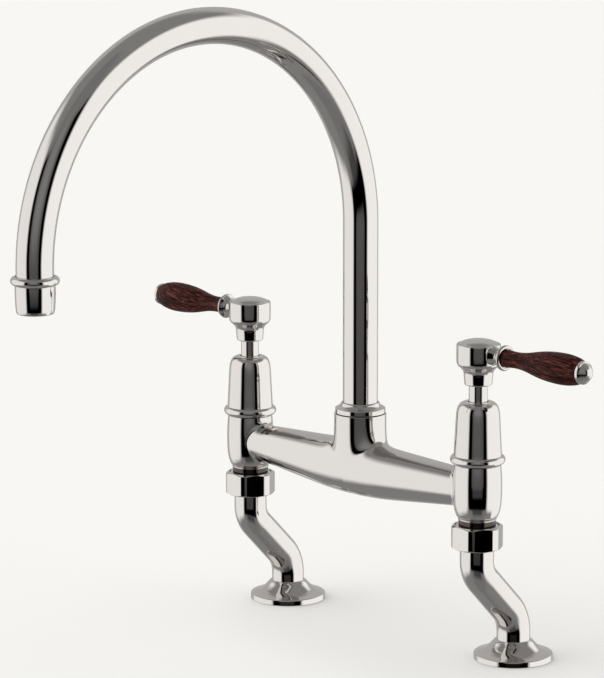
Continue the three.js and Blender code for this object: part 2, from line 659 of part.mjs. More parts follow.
function grip(name) {
  const from = FERRULE_END + GAP;
  const outline = start(tieRodBore, from).lineTo(GRIP_START_RADIUS, from);
  outline.quadraticCurveTo(GRIP_WAIST_RADIUS, (from + GRIP_WAIST_AT) / 2, GRIP_WAIST_RADIUS, GRIP_WAIST_AT);
  outline.bezierCurveTo(
    GRIP_WAIST_RADIUS,
    GRIP_WAIST_AT + GRIP_SWELL,
    GRIP_BULGE_RADIUS,
    GRIP_BULGE_AT - GRIP_SWELL,
    GRIP_BULGE_RADIUS,
    GRIP_BULGE_AT,
  );
  outline.quadraticCurveTo(GRIP_BULGE_RADIUS, GRIP_BULGE_AT + GRIP_END_SWELL, GRIP_END_RADIUS, GRIP_END);
  return piece(name, laid(turned(outline.lineTo(tieRodBore, GRIP_END).closePath(), SMALL_ROUND)), 'rosewood');
}

function endCap(name) {
  const from = GRIP_END + GAP;
  const to = from + END_CAP_LENGTH;
  const outline = start(tieRodBore, from).lineTo(END_CAP_RADIUS, from);
  outline.lineTo(END_CAP_RADIUS, from + END_CAP_RIM);
  outline.quadraticCurveTo(END_CAP_RADIUS - END_CAP_RIM / 2, to - END_CAP_RIM / 2, END_CAP_NOSE_RADIUS, to);
  outline.lineTo(0, to).lineTo(0, from + END_CAP_BORE_DEPTH).lineTo(tieRodBore, from + END_CAP_BORE_DEPTH);
  return piece(name, laid(turned(outline.closePath(), SMALL_ROUND)), 'nickel');
}

function tieRod(name) {
  const to = GRIP_END + END_CAP_BORE_DEPTH;
  return piece(name, laid(rod(TIE_ROD_RADIUS, TIE_ROD_START + GAP, to, HOLE_SIDES)), 'steel');
}

// One valve with its lever. The arm's socket faces the middle of the bridge, the lever points outwards.
function valve(side) {
  const group = new THREE.Group();
  group.add(valveBody(`${side}_valve_body`));
  group.add(seatSeal(`${side}_seat_seal`));
  group.add(disc(`${side}_fixed_disc`, level.fixedDisc, 0));
  group.add(disc(`${side}_moving_disc`, level.movingDisc, Math.PI / 2));
  group.add(spindle(`${side}_spindle`));
  group.add(spindleSeal(`${side}_spindle_o_ring`));
  group.add(headwork(`${side}_headwork`));
  group.add(circlip(`${side}_circlip`));
  group.add(shroud(`${side}_shroud`));
  group.add(leverStem(`${side}_lever_stem`));
  group.add(leverHub(`${side}_lever_hub`));
  group.add(hubScrew(`${side}_hub_screw`));
  group.add(hubCap(`${side}_hub_cap`));
  group.add(leverArm(`${side}_lever_arm`));
  const handle = new THREE.Group();
  handle.position.z = level.lever;
  handle.add(tieRod(`${side}_tie_rod`), grip(`${side}_grip`), endCap(`${side}_end_cap`));
  group.add(handle);
  return group;
}

// ---------------------------------------------------------------- leg, drawn on its valve's axis

function leg(name) {
  const path = new BentPath(CRANK_OFFSET, level.legFoot, Math.PI / 2);
  path.straight(CRANK_FOOT_STRAIGHT).turn(CRANK_LOWER_BEND, CRANK_SLOPE).straight(slopeLength);
  path.turn(CRANK_UPPER_BEND, -CRANK_SLOPE).straight(CRANK_HEAD_STRAIGHT);
  const bent = tube(path, LEG_RADIUS, legBore, LEG_SIDES, LEG_BORE_SIDES, LEG_STEPS);
  const collar = ring(legBore, LEG_COLLAR_RADIUS, level.legHead - GAP, level.collarTop, ROUND);
  const spigotRadius = INLET_BORE - GAP;
  const spigotFoot = level.footTop - LEG_SPIGOT_LENGTH;
  const spigot = ring(spigotRadius - LEG_SPIGOT_WALL, spigotRadius, spigotFoot, level.legFoot + GAP);
  return piece(name, carved([bent, collar, spigot.translate(0, CRANK_OFFSET, 0)], []), 'nickel');
}

function unionNut(name) {
  const corner = NUT_ACROSS_FLATS / 2 / Math.cos(Math.PI / 6);
  const top = level.nut + NUT_HEIGHT;
  const face = corner - NUT_CHAMFER;
  const trimmed = corner - NUT_CORNER_TRIM;
  const drop = (trimmed - face) * Math.tan(Math.PI / 6);
  const hexagon = rod(corner, level.nut, top, 6);
  const chamfer = start(0, level.nut).lineTo(face, level.nut).lineTo(trimmed, level.nut + drop);
  chamfer.lineTo(trimmed, top - drop).lineTo(face, top).lineTo(0, top);
  const bore = start(0, level.nut - PAST).lineTo(LEG_RADIUS + GAP, level.nut - PAST);
  bore.lineTo(LEG_RADIUS + GAP, level.nut + NUT_LIP).lineTo(UNION_THREAD_RADIUS + GAP, level.nut + NUT_LIP);
  bore.lineTo(UNION_THREAD_RADIUS + GAP, top + PAST).lineTo(0, top + PAST);
  const body = toSolid(hexagon).intersect(toSolid(turned(chamfer, NUT_CHAMFER_SIDES)));
  return piece(name, toGeometry(body.subtract(toSolid(turned(bore)))).rotateZ(NUT_TURN), 'nickel');
}

function unionWasher(name) {
  const bottom = level.collarTop + GAP;
  return piece(name, ring(TAIL_BORE, UNION_THREAD_RADIUS - GAP, bottom, bottom + UNION_WASHER), 'fibre');
}

function footFlange(name) {
  const outline = start(INLET_BORE, 0).lineTo(SEAL_INNER, 0).lineTo(SEAL_INNER, SEAL_DEPTH);
  outline.lineTo(SEAL_OUTER, SEAL_DEPTH).lineTo(SEAL_OUTER, 0).lineTo(FOOT_RADIUS, 0);
  outline.lineTo(FOOT_RADIUS, FOOT_RIM - PAST).lineTo(FOOT_RADIUS - PAST, FOOT_RIM);
  outline.quadraticCurveTo(FOOT_FLARE_RADIUS, FOOT_FLARE_HEIGHT, FOOT_COLLAR_RADIUS, level.footTop);
  return piece(name, turned(outline.lineTo(INLET_BORE, level.footTop).closePath()), 'nickel');
}

function deckSeal(name) {
  return piece(name, ring(SEAL_INNER + GAP, SEAL_OUTER - GAP, 0, SEAL_DEPTH - GAP, ROUND), 'rubber');
}

function legSet(side) {
  const group = new THREE.Group();
  group.add(leg(`${side}_leg`), unionNut(`${side}_union_nut`), unionWasher(`${side}_union_washer`));
  const foot = new THREE.Group();
  foot.position.y = CRANK_OFFSET;
  foot.add(footFlange(`${side}_foot_flange`), deckSeal(`${side}_deck_seal`));
  group.add(foot);
  return group;
}

// ---------------------------------------------------------------- spout swivel

function spoutSpigot() {
  const shoulder = level.skirtFoot + SPIGOT_SHOULDER;
  const insert = tubeBore - GAP;
  const outline = start(SPIGOT_BORE, level.spigot).lineTo(SPOUT_TUBE_RADIUS, level.spigot);
  for (const bottom of oRingLevels()) {
    const top = bottom + O_RING_SECTION + GAP;
    outline.lineTo(SPOUT_TUBE_RADIUS, bottom - GAP).lineTo(grooveRadius, bottom - GAP);
    outline.lineTo(grooveRadius, top).lineTo(SPOUT_TUBE_RADIUS, top);
  }
  outline.lineTo(SPOUT_TUBE_RADIUS, level.socketStep).lineTo(grooveRadius, level.socketStep);
  outline.lineTo(grooveRadius, level.skirtFoot).lineTo(SPOUT_TUBE_RADIUS, level.skirtFoot);
  outline.lineTo(SPOUT_TUBE_RADIUS, shoulder).lineTo(insert, shoulder);
  outline.lineTo(insert, shoulder + SPIGOT_INSERT).lineTo(SPIGOT_BORE, shoulder + SPIGOT_INSERT);
  return piece('spout_spigot', turned(outline.closePath(), SMALL_ROUND), 'brass');
}

function oRingLevels() {
  const lowest = level.spigot + LOWEST_O_RING_RISE;
  return [lowest, lowest + O_RING_PITCH];
}

function spoutORings() {
  const names = ['lower_spout_o_ring', 'upper_spout_o_ring'];
  return oRingLevels().map((bottom, i) => {
    return piece(names[i], oRing(grooveRadius + GAP, O_RING_SECTION, bottom), 'rubber');
  });
}

function retainingRing() {
  const inner = grooveRadius + GAP;
  const bottom = level.retainingRing;
  const top = bottom + RETAINING_RING_THICKNESS;
  return piece('spout_retaining_ring', ring(inner, inner + RETAINING_RING_WIDTH, bottom, top), 'acetal');
}

function spoutBush() {
  const geometry = ring(swivelBore, bushRadius, level.skirtFoot, level.socketTop - GAP, ROUND);
  return piece('spout_bush', geometry, 'acetal');
}

function spoutCollar() {
  const band = level.socketTop + GAP;
  const cone = band + COLLAR_BAND;
  const outline = start(skirtBore, level.skirtFoot).lineTo(skirtRadius, level.skirtFoot);
  outline.lineTo(skirtRadius, band).lineTo(collarRadius, band).lineTo(collarRadius, cone);
  outline.quadraticCurveTo(swivelBore + 2 * COLLAR_LIP, cone, swivelBore + COLLAR_LIP, cone + COLLAR_CONE);
  outline.lineTo(swivelBore, cone + COLLAR_CONE).lineTo(swivelBore, level.socketTop);
  return piece('spout_collar', turned(outline.lineTo(skirtBore, level.socketTop).closePath()), 'nickel');
}

// ---------------------------------------------------------------- spout

function spoutTube() {
  const path = new BentPath(0, level.tubeFoot, Math.PI / 2).straight(level.neckCentre - level.tubeFoot);
  path.turn(SPOUT_REACH / 2, Math.PI).straight(NECK_TAIL);
  const geometry = tube(path, SPOUT_TUBE_RADIUS, tubeBore, NECK_SIDES, NECK_BORE_SIDES, NECK_STEPS);
  return piece('spout_tube', geometry, 'nickel');
}

function outletSleeve() {
  const top = level.tubeTip + OUTLET_OVERLAP;
  const beadRim = OUTLET_RADIUS + OUTLET_BEAD_OVERHANG;
  const beadCentre = top - OUTLET_BEAD_RADIUS;
  const outline = start(outletBore, level.outlet).lineTo(OUTLET_RADIUS - OUTLET_ROUNDING / 2, level.outlet);
  outline.lineTo(OUTLET_RADIUS, level.outlet + OUTLET_ROUNDING);
  outline.lineTo(OUTLET_RADIUS, beadCentre - OUTLET_BEAD_RADIUS);
  const beadAxis = beadRim - OUTLET_BEAD_RADIUS;
  outline.absarc(beadAxis, beadCentre, OUTLET_BEAD_RADIUS, -Math.PI / 2, Math.PI / 2);
  outline.lineTo(SPOUT_TUBE_RADIUS + GAP, top).lineTo(SPOUT_TUBE_RADIUS + GAP, level.tubeTip - GAP);
  outline.lineTo(outletBore, level.tubeTip - GAP);
  return piece('spout_outlet', turned(outline.closePath()), 'nickel');
}

function aeratorHousing() {
  const outer = outletBore - GAP;
  const bottom = level.outlet + AERATOR_RECESS;
  const top = bottom + AERATOR_HEIGHT;
  return piece('aerator_housing', ring(outer - AERATOR_WALL, outer, bottom, top), 'brass');
}

function aeratorInsert() {
  const bottom = level.outlet + 2 * AERATOR_RECESS;
  const top = bottom + AERATOR_PLATE;
  const radius = outletBore - AERATOR_WALL - 2 * GAP;
  const drill = () => rod(AERATOR_HOLE_RADIUS, bottom - PAST, top + PAST, HOLE_SIDES);
  const holes = [drill()];
  for (let i = 0; i < AERATOR_HOLES; i += 1) {
    const hole = drill();
    holes.push(hole.translate(AERATOR_HOLE_RING, 0, 0).rotateZ((i * 2 * Math.PI) / AERATOR_HOLES));
  }
  return piece('aerator_insert', carved([rod(radius, bottom, top)], holes), 'acetal');
}

function aeratorWasher() {
  const bottom = level.outlet + AERATOR_RECESS + AERATOR_HEIGHT + GAP;
  const inner = outletBore - 2 * AERATOR_WALL;
  return piece('aerator_washer', ring(inner, outletBore - GAP, bottom, bottom + AERATOR_WASHER), 'rubber');
}

// ---------------------------------------------------------------- assembly

const faucet = new THREE.Group();
faucet.add(bridgeBody(), spoutCollar(), spoutBush(), retainingRing());
faucet.add(spoutSpigot(), ...spoutORings(), spoutTube());

const outlet = new THREE.Group();
outlet.position.y = -SPOUT_REACH;
outlet.add(outletSleeve(), aeratorHousing(), aeratorInsert(), aeratorWasher());
faucet.add(outlet);

for (const [side, direction] of [['hot', -1], ['cold', 1]]) {
  const fittings = valve(side);
  fittings.position.x = direction * VALVE_X;
  if (direction < 0) fittings.rotation.z = Math.PI;
  const support = legSet(side);
  support.position.x = direction * VALVE_X;
  faucet.add(fittings, support);
}

export default faucet;
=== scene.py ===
"""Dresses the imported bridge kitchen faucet: polished nickel, turned rosewood grips, and a pale studio."""

import json
import math

import bpy
import numpy as np
from bpy.props import FloatProperty, FloatVectorProperty, PointerProperty
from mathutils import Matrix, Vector


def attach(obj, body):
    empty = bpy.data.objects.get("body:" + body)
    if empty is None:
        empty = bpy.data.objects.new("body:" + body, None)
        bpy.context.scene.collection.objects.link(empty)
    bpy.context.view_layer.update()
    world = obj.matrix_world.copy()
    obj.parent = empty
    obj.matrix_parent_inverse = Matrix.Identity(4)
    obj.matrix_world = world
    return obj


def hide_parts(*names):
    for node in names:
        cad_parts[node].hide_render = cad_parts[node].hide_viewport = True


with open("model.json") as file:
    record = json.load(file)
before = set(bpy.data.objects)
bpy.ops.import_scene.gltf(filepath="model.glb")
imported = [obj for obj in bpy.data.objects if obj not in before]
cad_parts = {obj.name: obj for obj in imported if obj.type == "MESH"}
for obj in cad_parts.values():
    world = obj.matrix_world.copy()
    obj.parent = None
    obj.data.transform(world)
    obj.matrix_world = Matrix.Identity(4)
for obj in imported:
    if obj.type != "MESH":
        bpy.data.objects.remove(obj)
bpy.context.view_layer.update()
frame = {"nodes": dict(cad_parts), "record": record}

bl_info = {
    "name": "Bridge Kitchen Faucet",
    "version": (1, 0, 0),
    "blender": (4, 5, 0),
    "location": "View3D > Sidebar > Faucet",
    "description": "Models a bridge faucet in polished nickel with rosewood grips, and its studio",
    "category": "Add Mesh",
}

MM = 0.001
FULL_TURN = 2 * math.pi

# ---------------------------------------------------------------- fineness

ROUND_SIDES = 128  # round the large turned pieces
TUBE_SIDES = 96  # round the spout's tube, the levers and the seals
LEG_SIDES = 80
SMALL_SIDES = 64  # round the small pieces
BLANK_SIDES = 48  # round what is only a start for a remesh
DRILL_SIDES = 12
ROUNDING_STEPS = 6  # in each rounded corner
CURVE_STEPS = 6  # between two measured points of a curve
GUARD = 0.2  # mm; an extra loop stands this far from each bend, so that the bend alone takes the shading
NECK_STEPS = 180  # round the half circle of the spout
LEG_STEPS = 40  # round each bend of a leg
BEAD_STEPS = 24  # round each bead
NECK_GUARD = 1.0  # mm; the guarding loops beside the bends of the spout
LEG_GUARD = 0.5  # mm; those beside the bends of a leg
BRIDGE_VOXEL = 0.65  # mm
MERGE = 1e-7  # m; vertices nearer than this become one
SHARP = 35  # degrees; an edge that turns further than this is shaded sharp

# ---------------------------------------------------------------- outlines
# Each turned piece's half outline in millimetres: its radius, its height above the deck, and where a third
# number stands, the rounding of that corner. Those of the levers run along the lever from the valve's axis.

COLLAR_BAND = [(11.2, 145.3), (15.8, 145.3, 0.35), (15.8, 148.25, 0.4), (15.1, 148.7)]
COLLAR_CONE = [
    (15.1, 148.7), (14.0, 149.25), (13.1, 149.9), (12.5, 150.7), (12.15, 151.4), (11.8, 151.85),
    (11.35, 152.1),
]
COLLAR_TOP = [(11.2, 152.1)]
SOCKET_SIDE = [(16.4, 144.0), (16.4, 144.5)]
SOCKET_EDGE = (16.0, 144.6, 0.4)  # middle and radius of the rounding of the socket's rim
SOCKET_BORE = [(14.0, 145.0), (13.9, 138.0)]

BARREL_ENDS = (94.95, 128.4)  # heights of the barrel's lower and upper edges
BARREL_CURVE = [
    (11.5, 94.9), (12.3, 95.7), (13.2, 97.4), (13.9, 99.6), (14.4, 102.0), (14.75, 105.0), (14.95, 109.0),
    (15.0, 113.0), (15.0, 117.0), (14.85, 121.0), (14.6, 125.0), (14.3, 128.4),
]
BARREL_TAIL = [
    (7.0, 84.8), (13.2, 84.8, 0.4), (13.2, 90.2, 0.4), (10.9, 90.3), (10.9, 94.2), (11.85, 94.25, 0.2),
    (11.85, 94.75, 0.25), (11.4, 94.9),
]
# The outline of the dark sleeve on the valve's neck, whose colour paints the shade between the barrel and the
# nut
NECK_SHADE_SLEEVE = [(10.8, 90.35), (11.45, 90.35, 0.15), (11.45, 93.95, 0.15), (10.8, 93.95)]
BARREL_TOP = [(14.3, 128.5), (11.2, 128.5), (11.2, 139.5, 0.3), (7.9, 139.5), (7.9, 103.1), (7.0, 95.1)]

SHROUD_SIDE = [
    (14.75, 134.3), (14.62, 136.0), (14.42, 140.0), (14.2, 144.0), (13.98, 148.0), (13.78, 152.0),
    (13.58, 156.0), (13.38, 159.0), (13.12, 161.4), (12.6, 163.4), (11.8, 165.1), (10.7, 166.3),
    (9.4, 167.0), (8.2, 167.3),
]
SHROUD_TOP = [(8.2, 167.4), (6.3, 167.45, 0.2), (6.1, 163.9), (11.7, 163.9), (11.7, 144.5), (11.6, 128.8)]
BEAD_HEIGHT = 131.6
BEAD_RADIUS = 2.85
BEAD_REACH = 16.9
BEAD_ARC = (-90, 72)  # degrees, anticlockwise from straight out

STEM = [(3.7, 153.0), (5.8, 153.0, 0.3), (5.8, 188.6, 0.3), (2.5, 188.6), (2.5, 167.3), (3.7, 167.3)]
HUB_SKIRT = [(6.1, 188.9), (6.1, 177.6, 0.2), (8.45, 177.6, 0.9), (8.95, 183.6)]
HUB_COVE = [
    (8.95, 183.6), (9.0, 184.6), (9.2, 185.6), (9.65, 186.6), (10.35, 187.5), (11.2, 188.3), (12.0, 189.0),
    (12.7, 189.8), (13.2, 190.8), (13.42, 192.0), (13.48, 193.5), (13.5, 195.5),
]
HUB_TOP = [(13.5, 203.1, 1.0), (12.35, 203.1, 0.1), (12.35, 201.6), (4.3, 201.6), (4.3, 198.4), (2.5, 198.4)]
HUB_END = [(2.5, 188.9)]
CAP_EDGE = [(0.0, 201.9), (12.2, 201.9, 0.1), (12.2, 203.2, 0.15)]
CAP_DOME = [
    (11.4, 203.5), (10.0, 204.2), (8.0, 204.9), (6.0, 205.35), (4.0, 205.65), (2.0, 205.8), (0.0, 205.85),
]

ARM_NECK = [
    (3.0, 11.0), (6.3, 11.4), (6.25, 12.3), (5.95, 12.95), (5.55, 13.8), (5.15, 14.65), (4.76, 15.45),
    (4.42, 16.1), (4.2, 16.7), (4.25, 17.3), (4.5, 18.1), (4.85, 18.75), (5.3, 19.35), (5.85, 19.9),
    (6.5, 20.4), (7.15, 20.85),
]
ARM_RIM = [
    (7.15, 20.85), (7.6, 21.15), (7.85, 21.6), (7.8, 22.1), (7.55, 22.6), (7.1, 22.95), (6.6, 23.1),
    (6.1, 23.1), (5.95, 22.9),
]
ARM_BORE = [(5.95, 22.6), (2.7, 22.6), (2.7, 18.0), (0.0, 18.0)]
GRIP_CURVE = [
    (5.55, 23.5), (5.3, 25.5), (5.03, 29.0), (5.0, 32.0), (5.18, 35.5), (5.6, 39.0), (6.35, 43.0),
    (7.35, 47.5), (8.3, 52.5), (8.95, 57.5), (9.33, 62.5), (9.5, 67.5), (9.42, 71.2), (9.08, 75.0),
    (8.4, 78.8), (7.65, 81.3), (6.85, 83.2),
]
GRIP_BORE = 2.7
END_CAP_EDGE = [(2.7, 87.5), (2.7, 83.6), (6.9, 83.6, 0.2), (7.0, 84.6)]
END_CAP_DOME = [
    (7.0, 84.6), (7.0, 85.35), (6.9, 85.6), (6.55, 85.85), (6.15, 86.1), (5.8, 86.4), (5.5, 86.8),
    (5.15, 87.3), (4.75, 87.9), (4.2, 88.55), (3.5, 89.2), (2.7, 89.75), (1.8, 90.15), (0.9, 90.4),
    (0.0, 90.5),
]
END_CAP_SHARP = 28  # degrees

FLANGE = [
    (8.0, 0.0, 0.3), (13.0, 0.0), (13.0, 1.5), (21.0, 1.5), (21.0, 0.0), (24.6, 0.0, 0.3), (24.6, 3.6, 0.8),
]
FLANGE_FLARE = [
    (23.6, 3.85), (21.6, 4.4), (19.5, 5.15), (17.4, 6.3), (15.4, 8.0), (13.9, 9.5), (12.9, 10.65),
    (12.2, 11.4), (11.6, 11.95), (10.95, 12.4),
]
FLANGE_TOP = [(10.9, 12.5, 0.15), (8.0, 12.5)]
DECK_SEAL = [(13.3, 0.0), (20.7, 0.0), (20.7, 1.2, 0.2), (13.3, 1.2, 0.2)]

SLEEVE_BORE = [(10.4, 258.8), (10.4, 241.4), (9.7, 241.3), (9.7, 240.95)]
SLEEVE_SIDE = [
    (9.8, 240.9), (10.4, 240.95), (10.8, 241.3), (11.1, 242.3), (11.3, 243.5), (11.45, 245.9), (11.6, 250.0),
    (11.7, 254.0), (11.7, 257.3),
]
SLEEVE_TOP = [(11.9, 262.6, 0.4), (11.3, 262.7, 0.1), (11.3, 258.8)]
SLEEVE_BEAD_HEIGHT = 260.0
SLEEVE_BEAD_RADIUS = 2.6
SLEEVE_BEAD_REACH = 14.2
SLEEVE_BEAD_ARC = (-84, 78)
AERATOR_RING = [(8.6, 241.7, 0.3), (10.1, 241.7, 0.3), (10.1, 251.5), (8.6, 251.5)]
AERATOR_SCREEN = [(0.0, 242.3), (8.2, 242.3, 0.4), (8.2, 245.1), (0.0, 245.1)]
SCREEN_RINGS = (1, 6, 12, 18)  # holes in the middle and in each ring round it
DRILL_HEIGHT = 243.7
DRILL_LENGTH = 8

NUT_BLANK = [(0.0, 76.1), (14.2, 76.1), (17.2, 77.83), (17.2, 89.07), (14.2, 90.8), (0.0, 90.8)]
NUT_BORE = [(0.0, 70.0), (10.8, 70.0), (10.8, 79.9), (13.5, 79.9), (13.5, 96.0), (0.0, 96.0)]
NUT_CORNERS = ((2.26, 1), (0.86, 3))  # each corner is cut flat, and then the two edges left are rounded
NUT_EDGE = 0.15

# ---------------------------------------------------------------- sizes and colours that a user would change


def length(name, description, millimetres):
    """A size in the sidebar, given here in millimetres and kept in metres."""
    return FloatProperty(name=name, description=description, default=millimetres * MM, min=0, unit="LENGTH")


def angle(name, description, degrees):
    """An angle in the sidebar, given here in degrees and kept in radians."""
    return FloatProperty(
        name=name, description=description, default=math.radians(degrees), subtype="ANGLE"
    )


def colour(name, description, code):
    """A colour in the sidebar, given here as an sRGB hex value and kept as linear light."""
    return FloatVectorProperty(
        name=name, description=description, default=linear(code), min=0, max=1, size=3, subtype="COLOR"
    )


def linear(code):
    """Turns an sRGB hex value into linear red, green and blue."""
    channels = [int(code[i : i + 2], 16) / 255 for i in (1, 3, 5)]
    return [c / 12.92 if c <= 0.04045 else ((c + 0.055) / 1.055) ** 2.4 for c in channels]


class FaucetBridgeSizes(bpy.types.PropertyGroup):
    valve_centres: length("Valve centres", "Between the axes of the two valves", 203.2)
    arm_radius: length("Arm radius", "Radius of the arms under the spout's socket", 16.5)
    arm_height: length("Arm height", "Height of the arms' axis in the middle of the bridge", 109.1)
    arm_taper: FloatProperty(
        name="Arm taper", description="Loss of radius along an arm", default=0.074, min=0
    )
    arm_droop: angle("Arm droop", "Slope of each arm to the middle", 2)
    socket_radius: length("Socket radius", "Radius of the upright socket", 16.4)
    socket_top: length("Socket top", "Height of the socket's rim", 145.0)
    socket_blend: length("Socket fillet", "Reach of the fillet between socket and arms", 36.0)
    valve_blend: length("Valve fillet", "Reach of the fillet between arms and barrels", 4.0)


class FaucetSpoutSizes(bpy.types.PropertyGroup):
    tube_radius: length("Tube radius", "Outer radius of the 22 mm tube", 10.98)
    tube_wall: length("Tube wall", "Thickness of the tube's wall", 1.5)
    reach: length("Reach", "From the spout's axis to the outlet's axis", 261.0)
    foot: length("Foot", "Height of the tube's lower end, inside the socket", 136.3)
    curve: length("Curve height", "Height where the half circle starts", 266.1)
    tip: length("Tip", "Height of the tube's other end, inside the outlet", 259.1)
    screen_hole: length("Screen hole", "Radius of the holes in the aerator's screen", 0.75)
    screen_pitch: length("Screen pitch", "Between the holes of the screen", 2.35)


class FaucetLeverSizes(bpy.types.PropertyGroup):
    height: length("Lever height", "Height of the levers' axis above the deck", 197.0)


class FaucetLegSizes(bpy.types.PropertyGroup):
    radius: length("Leg radius", "Outer radius of the cranked leg", 10.45)
    offset: length("Crank", "How far the foot stands behind the valve's axis", 33.5)
    foot: length("Foot", "Height of the leg's lower end", 12.4)
    lower_bend_height: length("Lower bend", "Height where the lower bend starts", 17.3)
    lower_bend: length("Lower bend radius", "Radius of the lower bend", 23.0)
    upper_bend: length("Upper bend radius", "Radius of the upper bend", 18.0)
    head: length("Head", "Height of the leg's upper end, inside the nut", 82.4)
    slope: angle("Slope", "Slope of the leg's middle from upright", 45)
    nut_flats: length("Nut", "Across the flats of the union nut", 29.6)
    nut_foot: length("Nut foot", "Height of the nut's lower face", 76.1)
    nut_top: length("Nut top", "Height of the nut's upper face", 90.8)
    nut_turn: angle("Nut turn", "Turn of the nut's corners off the Y axis", 29)


class FaucetColours(bpy.types.PropertyGroup):
    nickel: colour("Nickel", "Polished nickel plate", "#dcd8d4")
    wood_light: colour("Wood, light", "Lighter wood between the streaks", "#43211b")
    wood_red: colour("Wood, red", "Body colour of the wood", "#2f1310")
    wood_dark: colour("Wood, dark", "Dark streaks of the wood", "#180a08")
    floor: colour("Floor", "Studio floor and backdrop", "#f8f7f3")


GROUPS = {
    "faucet_bridge": FaucetBridgeSizes,
    "faucet_spout": FaucetSpoutSizes,
    "faucet_lever": FaucetLeverSizes,
    "faucet_leg": FaucetLegSizes,
    "faucet_colours": FaucetColours,
}

# Each finish: the name of its material and the slot of the record that it fills
NICKEL = ("Polished nickel plate", "nickel")
ROSEWOOD = ("Turned rosewood", "rosewood")
BRASS = ("Machined brass", "brass")
# Dark brass whose colour paints the shade on the valves' necks
NECK_SHADE_BRASS = ("Brass painted as neck shade", "brass")
STEEL = ("Turned stainless steel", "steel")
CERAMIC = ("Lapped ceramic", "ceramic")
RUBBER = ("Moulded rubber", "rubber")
FIBRE = ("Pressed red fibre", "fibre")
ACETAL = ("Moulded acetal", "acetal")

# ---------------------------------------------------------------- drawing outlines


def rounded(corners, closed=False):
    """Rounds the corners of an outline that name a rounding, and guards each bend with an extra point."""
    drawn = []
    count = len(corners)
    for i, corner in enumerate(corners):
        here = Vector(corner[:2])
        inner = closed or 0 < i < count - 1
        if len(corner) < 3 or not inner:
            drawn.append([here])
            continue
        before = (Vector(corners[i - 1][:2]) - here).normalized()
        after = (Vector(corners[(i + 1) % count][:2]) - here).normalized()
        half = before.angle(after) / 2
        reach = corner[2] / math.tan(half)
        centre = here + (before + after).normalized() * corner[2] / math.sin(half)
        first = here + before * reach - centre
        turn = first.angle_signed(here + after * reach - centre)
        arc = []
        for step in range(ROUNDING_STEPS + 1):
            angle = -turn * step / ROUNDING_STEPS
            arc.append(centre + Vector((
                first.x * math.cos(angle) - first.y * math.sin(angle),
                first.x * math.sin(angle) + first.y * math.cos(angle),
            )))
        drawn.append(arc)
    return guarded(drawn, closed)


def guarded(stretches, closed=False):
    """Joins stretches of an outline, with a guarding point near both ends of each long straight."""
    points = []
    for i, stretch in enumerate(stretches):
        points += stretch
        if i + 1 == len(stretches) and not closed:
            break
        start, end = stretch[-1], stretches[(i + 1) % len(stretches)][0]
        straight = end - start
        if straight.length > 4 * GUARD:
            step = straight.normalized() * GUARD
            points += [start + step, end - step]
    if closed:
        points.append(points[0])
    return points


def curve(points, steps=CURVE_STEPS):
    """Draws one smooth curve through measured points."""
    knots = [Vector(p) for p in points]
    ends = [2 * knots[0] - knots[1], *knots, 2 * knots[-1] - knots[-2]]
    drawn = [knots[0]]
    for a, b, c, d in zip(ends, ends[1:], ends[2:], ends[3:]):
        for step in range(1, steps + 1):
            t = step / steps
            drawn.append(0.5 * (2 * b + (c - a) * t + (2 * a - 5 * b + 4 * c - d) * t**2
                                + (3 * b - a - 3 * c + d) * t**3))
    return drawn


def bead(centre_radius, height, radius, arc, steps=BEAD_STEPS):
    """Draws the round of a bead from one angle of its arc to the other, anticlockwise."""
    start, end = (math.radians(angle) for angle in arc)
    angles = [start + (end - start) * step / steps for step in range(steps + 1)]
    return [Vector((centre_radius + radius * math.cos(a), height + radius * math.sin(a))) for a in angles]


# ---------------------------------------------------------------- modelling


def start_piece(name):
    """Takes the new primitive as a piece of its own and opens it for editing."""
    piece = bpy.context.active_object
    piece.name = name
    piece.data.name = name
    bpy.ops.object.mode_set(mode="EDIT")
    bpy.ops.mesh.select_mode(type="VERT")
    return piece


def select_only(*pieces):
    """Selects these pieces and nothing else, and makes the first the active one."""
    bpy.ops.object.select_all(action="DESELECT")
    for piece in pieces:
        piece.select_set(True)
    bpy.context.view_layer.objects.active = pieces[0]


def shade(piece, degrees=SHARP):
    """Shades a piece smooth, but for edges sharper than an angle."""
    select_only(piece)
    bpy.ops.object.shade_smooth_by_angle(angle=math.radians(degrees))


def turned(name, outline, place=(0, 0, 0), along="Z", sides=ROUND_SIDES, degrees=SHARP):
    """Turns a piece as on a lathe: a vertex is drawn along the outline, and the line is spun round. An
    outline that doesn't start on the axis is closed."""
    bpy.ops.object.select_all(action="DESELECT")
    bpy.ops.mesh.primitive_plane_add(size=MM, location=(0, 0, 0))
    piece = start_piece(name)
    bpy.ops.mesh.merge(type="CENTER")
    order = (1, 0) if along == "X" else (0, 1)
    laid = [Vector((point[order[0]], 0, point[order[1]])) * MM for point in outline]
    if outline[0][0] > 0:
        laid.append(laid[0])
    bpy.ops.transform.translate(value=laid[0])
    for here, following in zip(laid, laid[1:]):
        if (following - here).length > 1e-6 * MM:
            bpy.ops.mesh.extrude_vertices_move(TRANSFORM_OT_translate={"value": following - here})
    bpy.ops.mesh.select_all(action="SELECT")
    axis = (1, 0, 0) if along == "X" else (0, 0, 1)
    bpy.ops.mesh.spin(steps=sides, angle=FULL_TURN, center=(0, 0, 0), axis=axis)
    tidy_mesh()
    bpy.ops.transform.translate(value=place)
    bpy.ops.object.mode_set(mode="OBJECT")
    shade(piece, degrees)
    return piece


def tidy_mesh():
    """Closes the seams and poles and points the faces outwards."""
    bpy.ops.mesh.select_all(action="SELECT")
    bpy.ops.mesh.remove_doubles(threshold=MERGE)
    bpy.ops.mesh.normals_make_consistent(inside=False)


def apply_modifier(piece, kind, **settings):
    """Adds a modifier to a piece with its settings and applies it."""
    select_only(piece)
    modifier = piece.modifiers.new(kind.title(), kind)
    for setting, value in settings.items():
        setattr(modifier, setting, value)
    bpy.ops.object.modifier_apply(modifier=modifier.name)


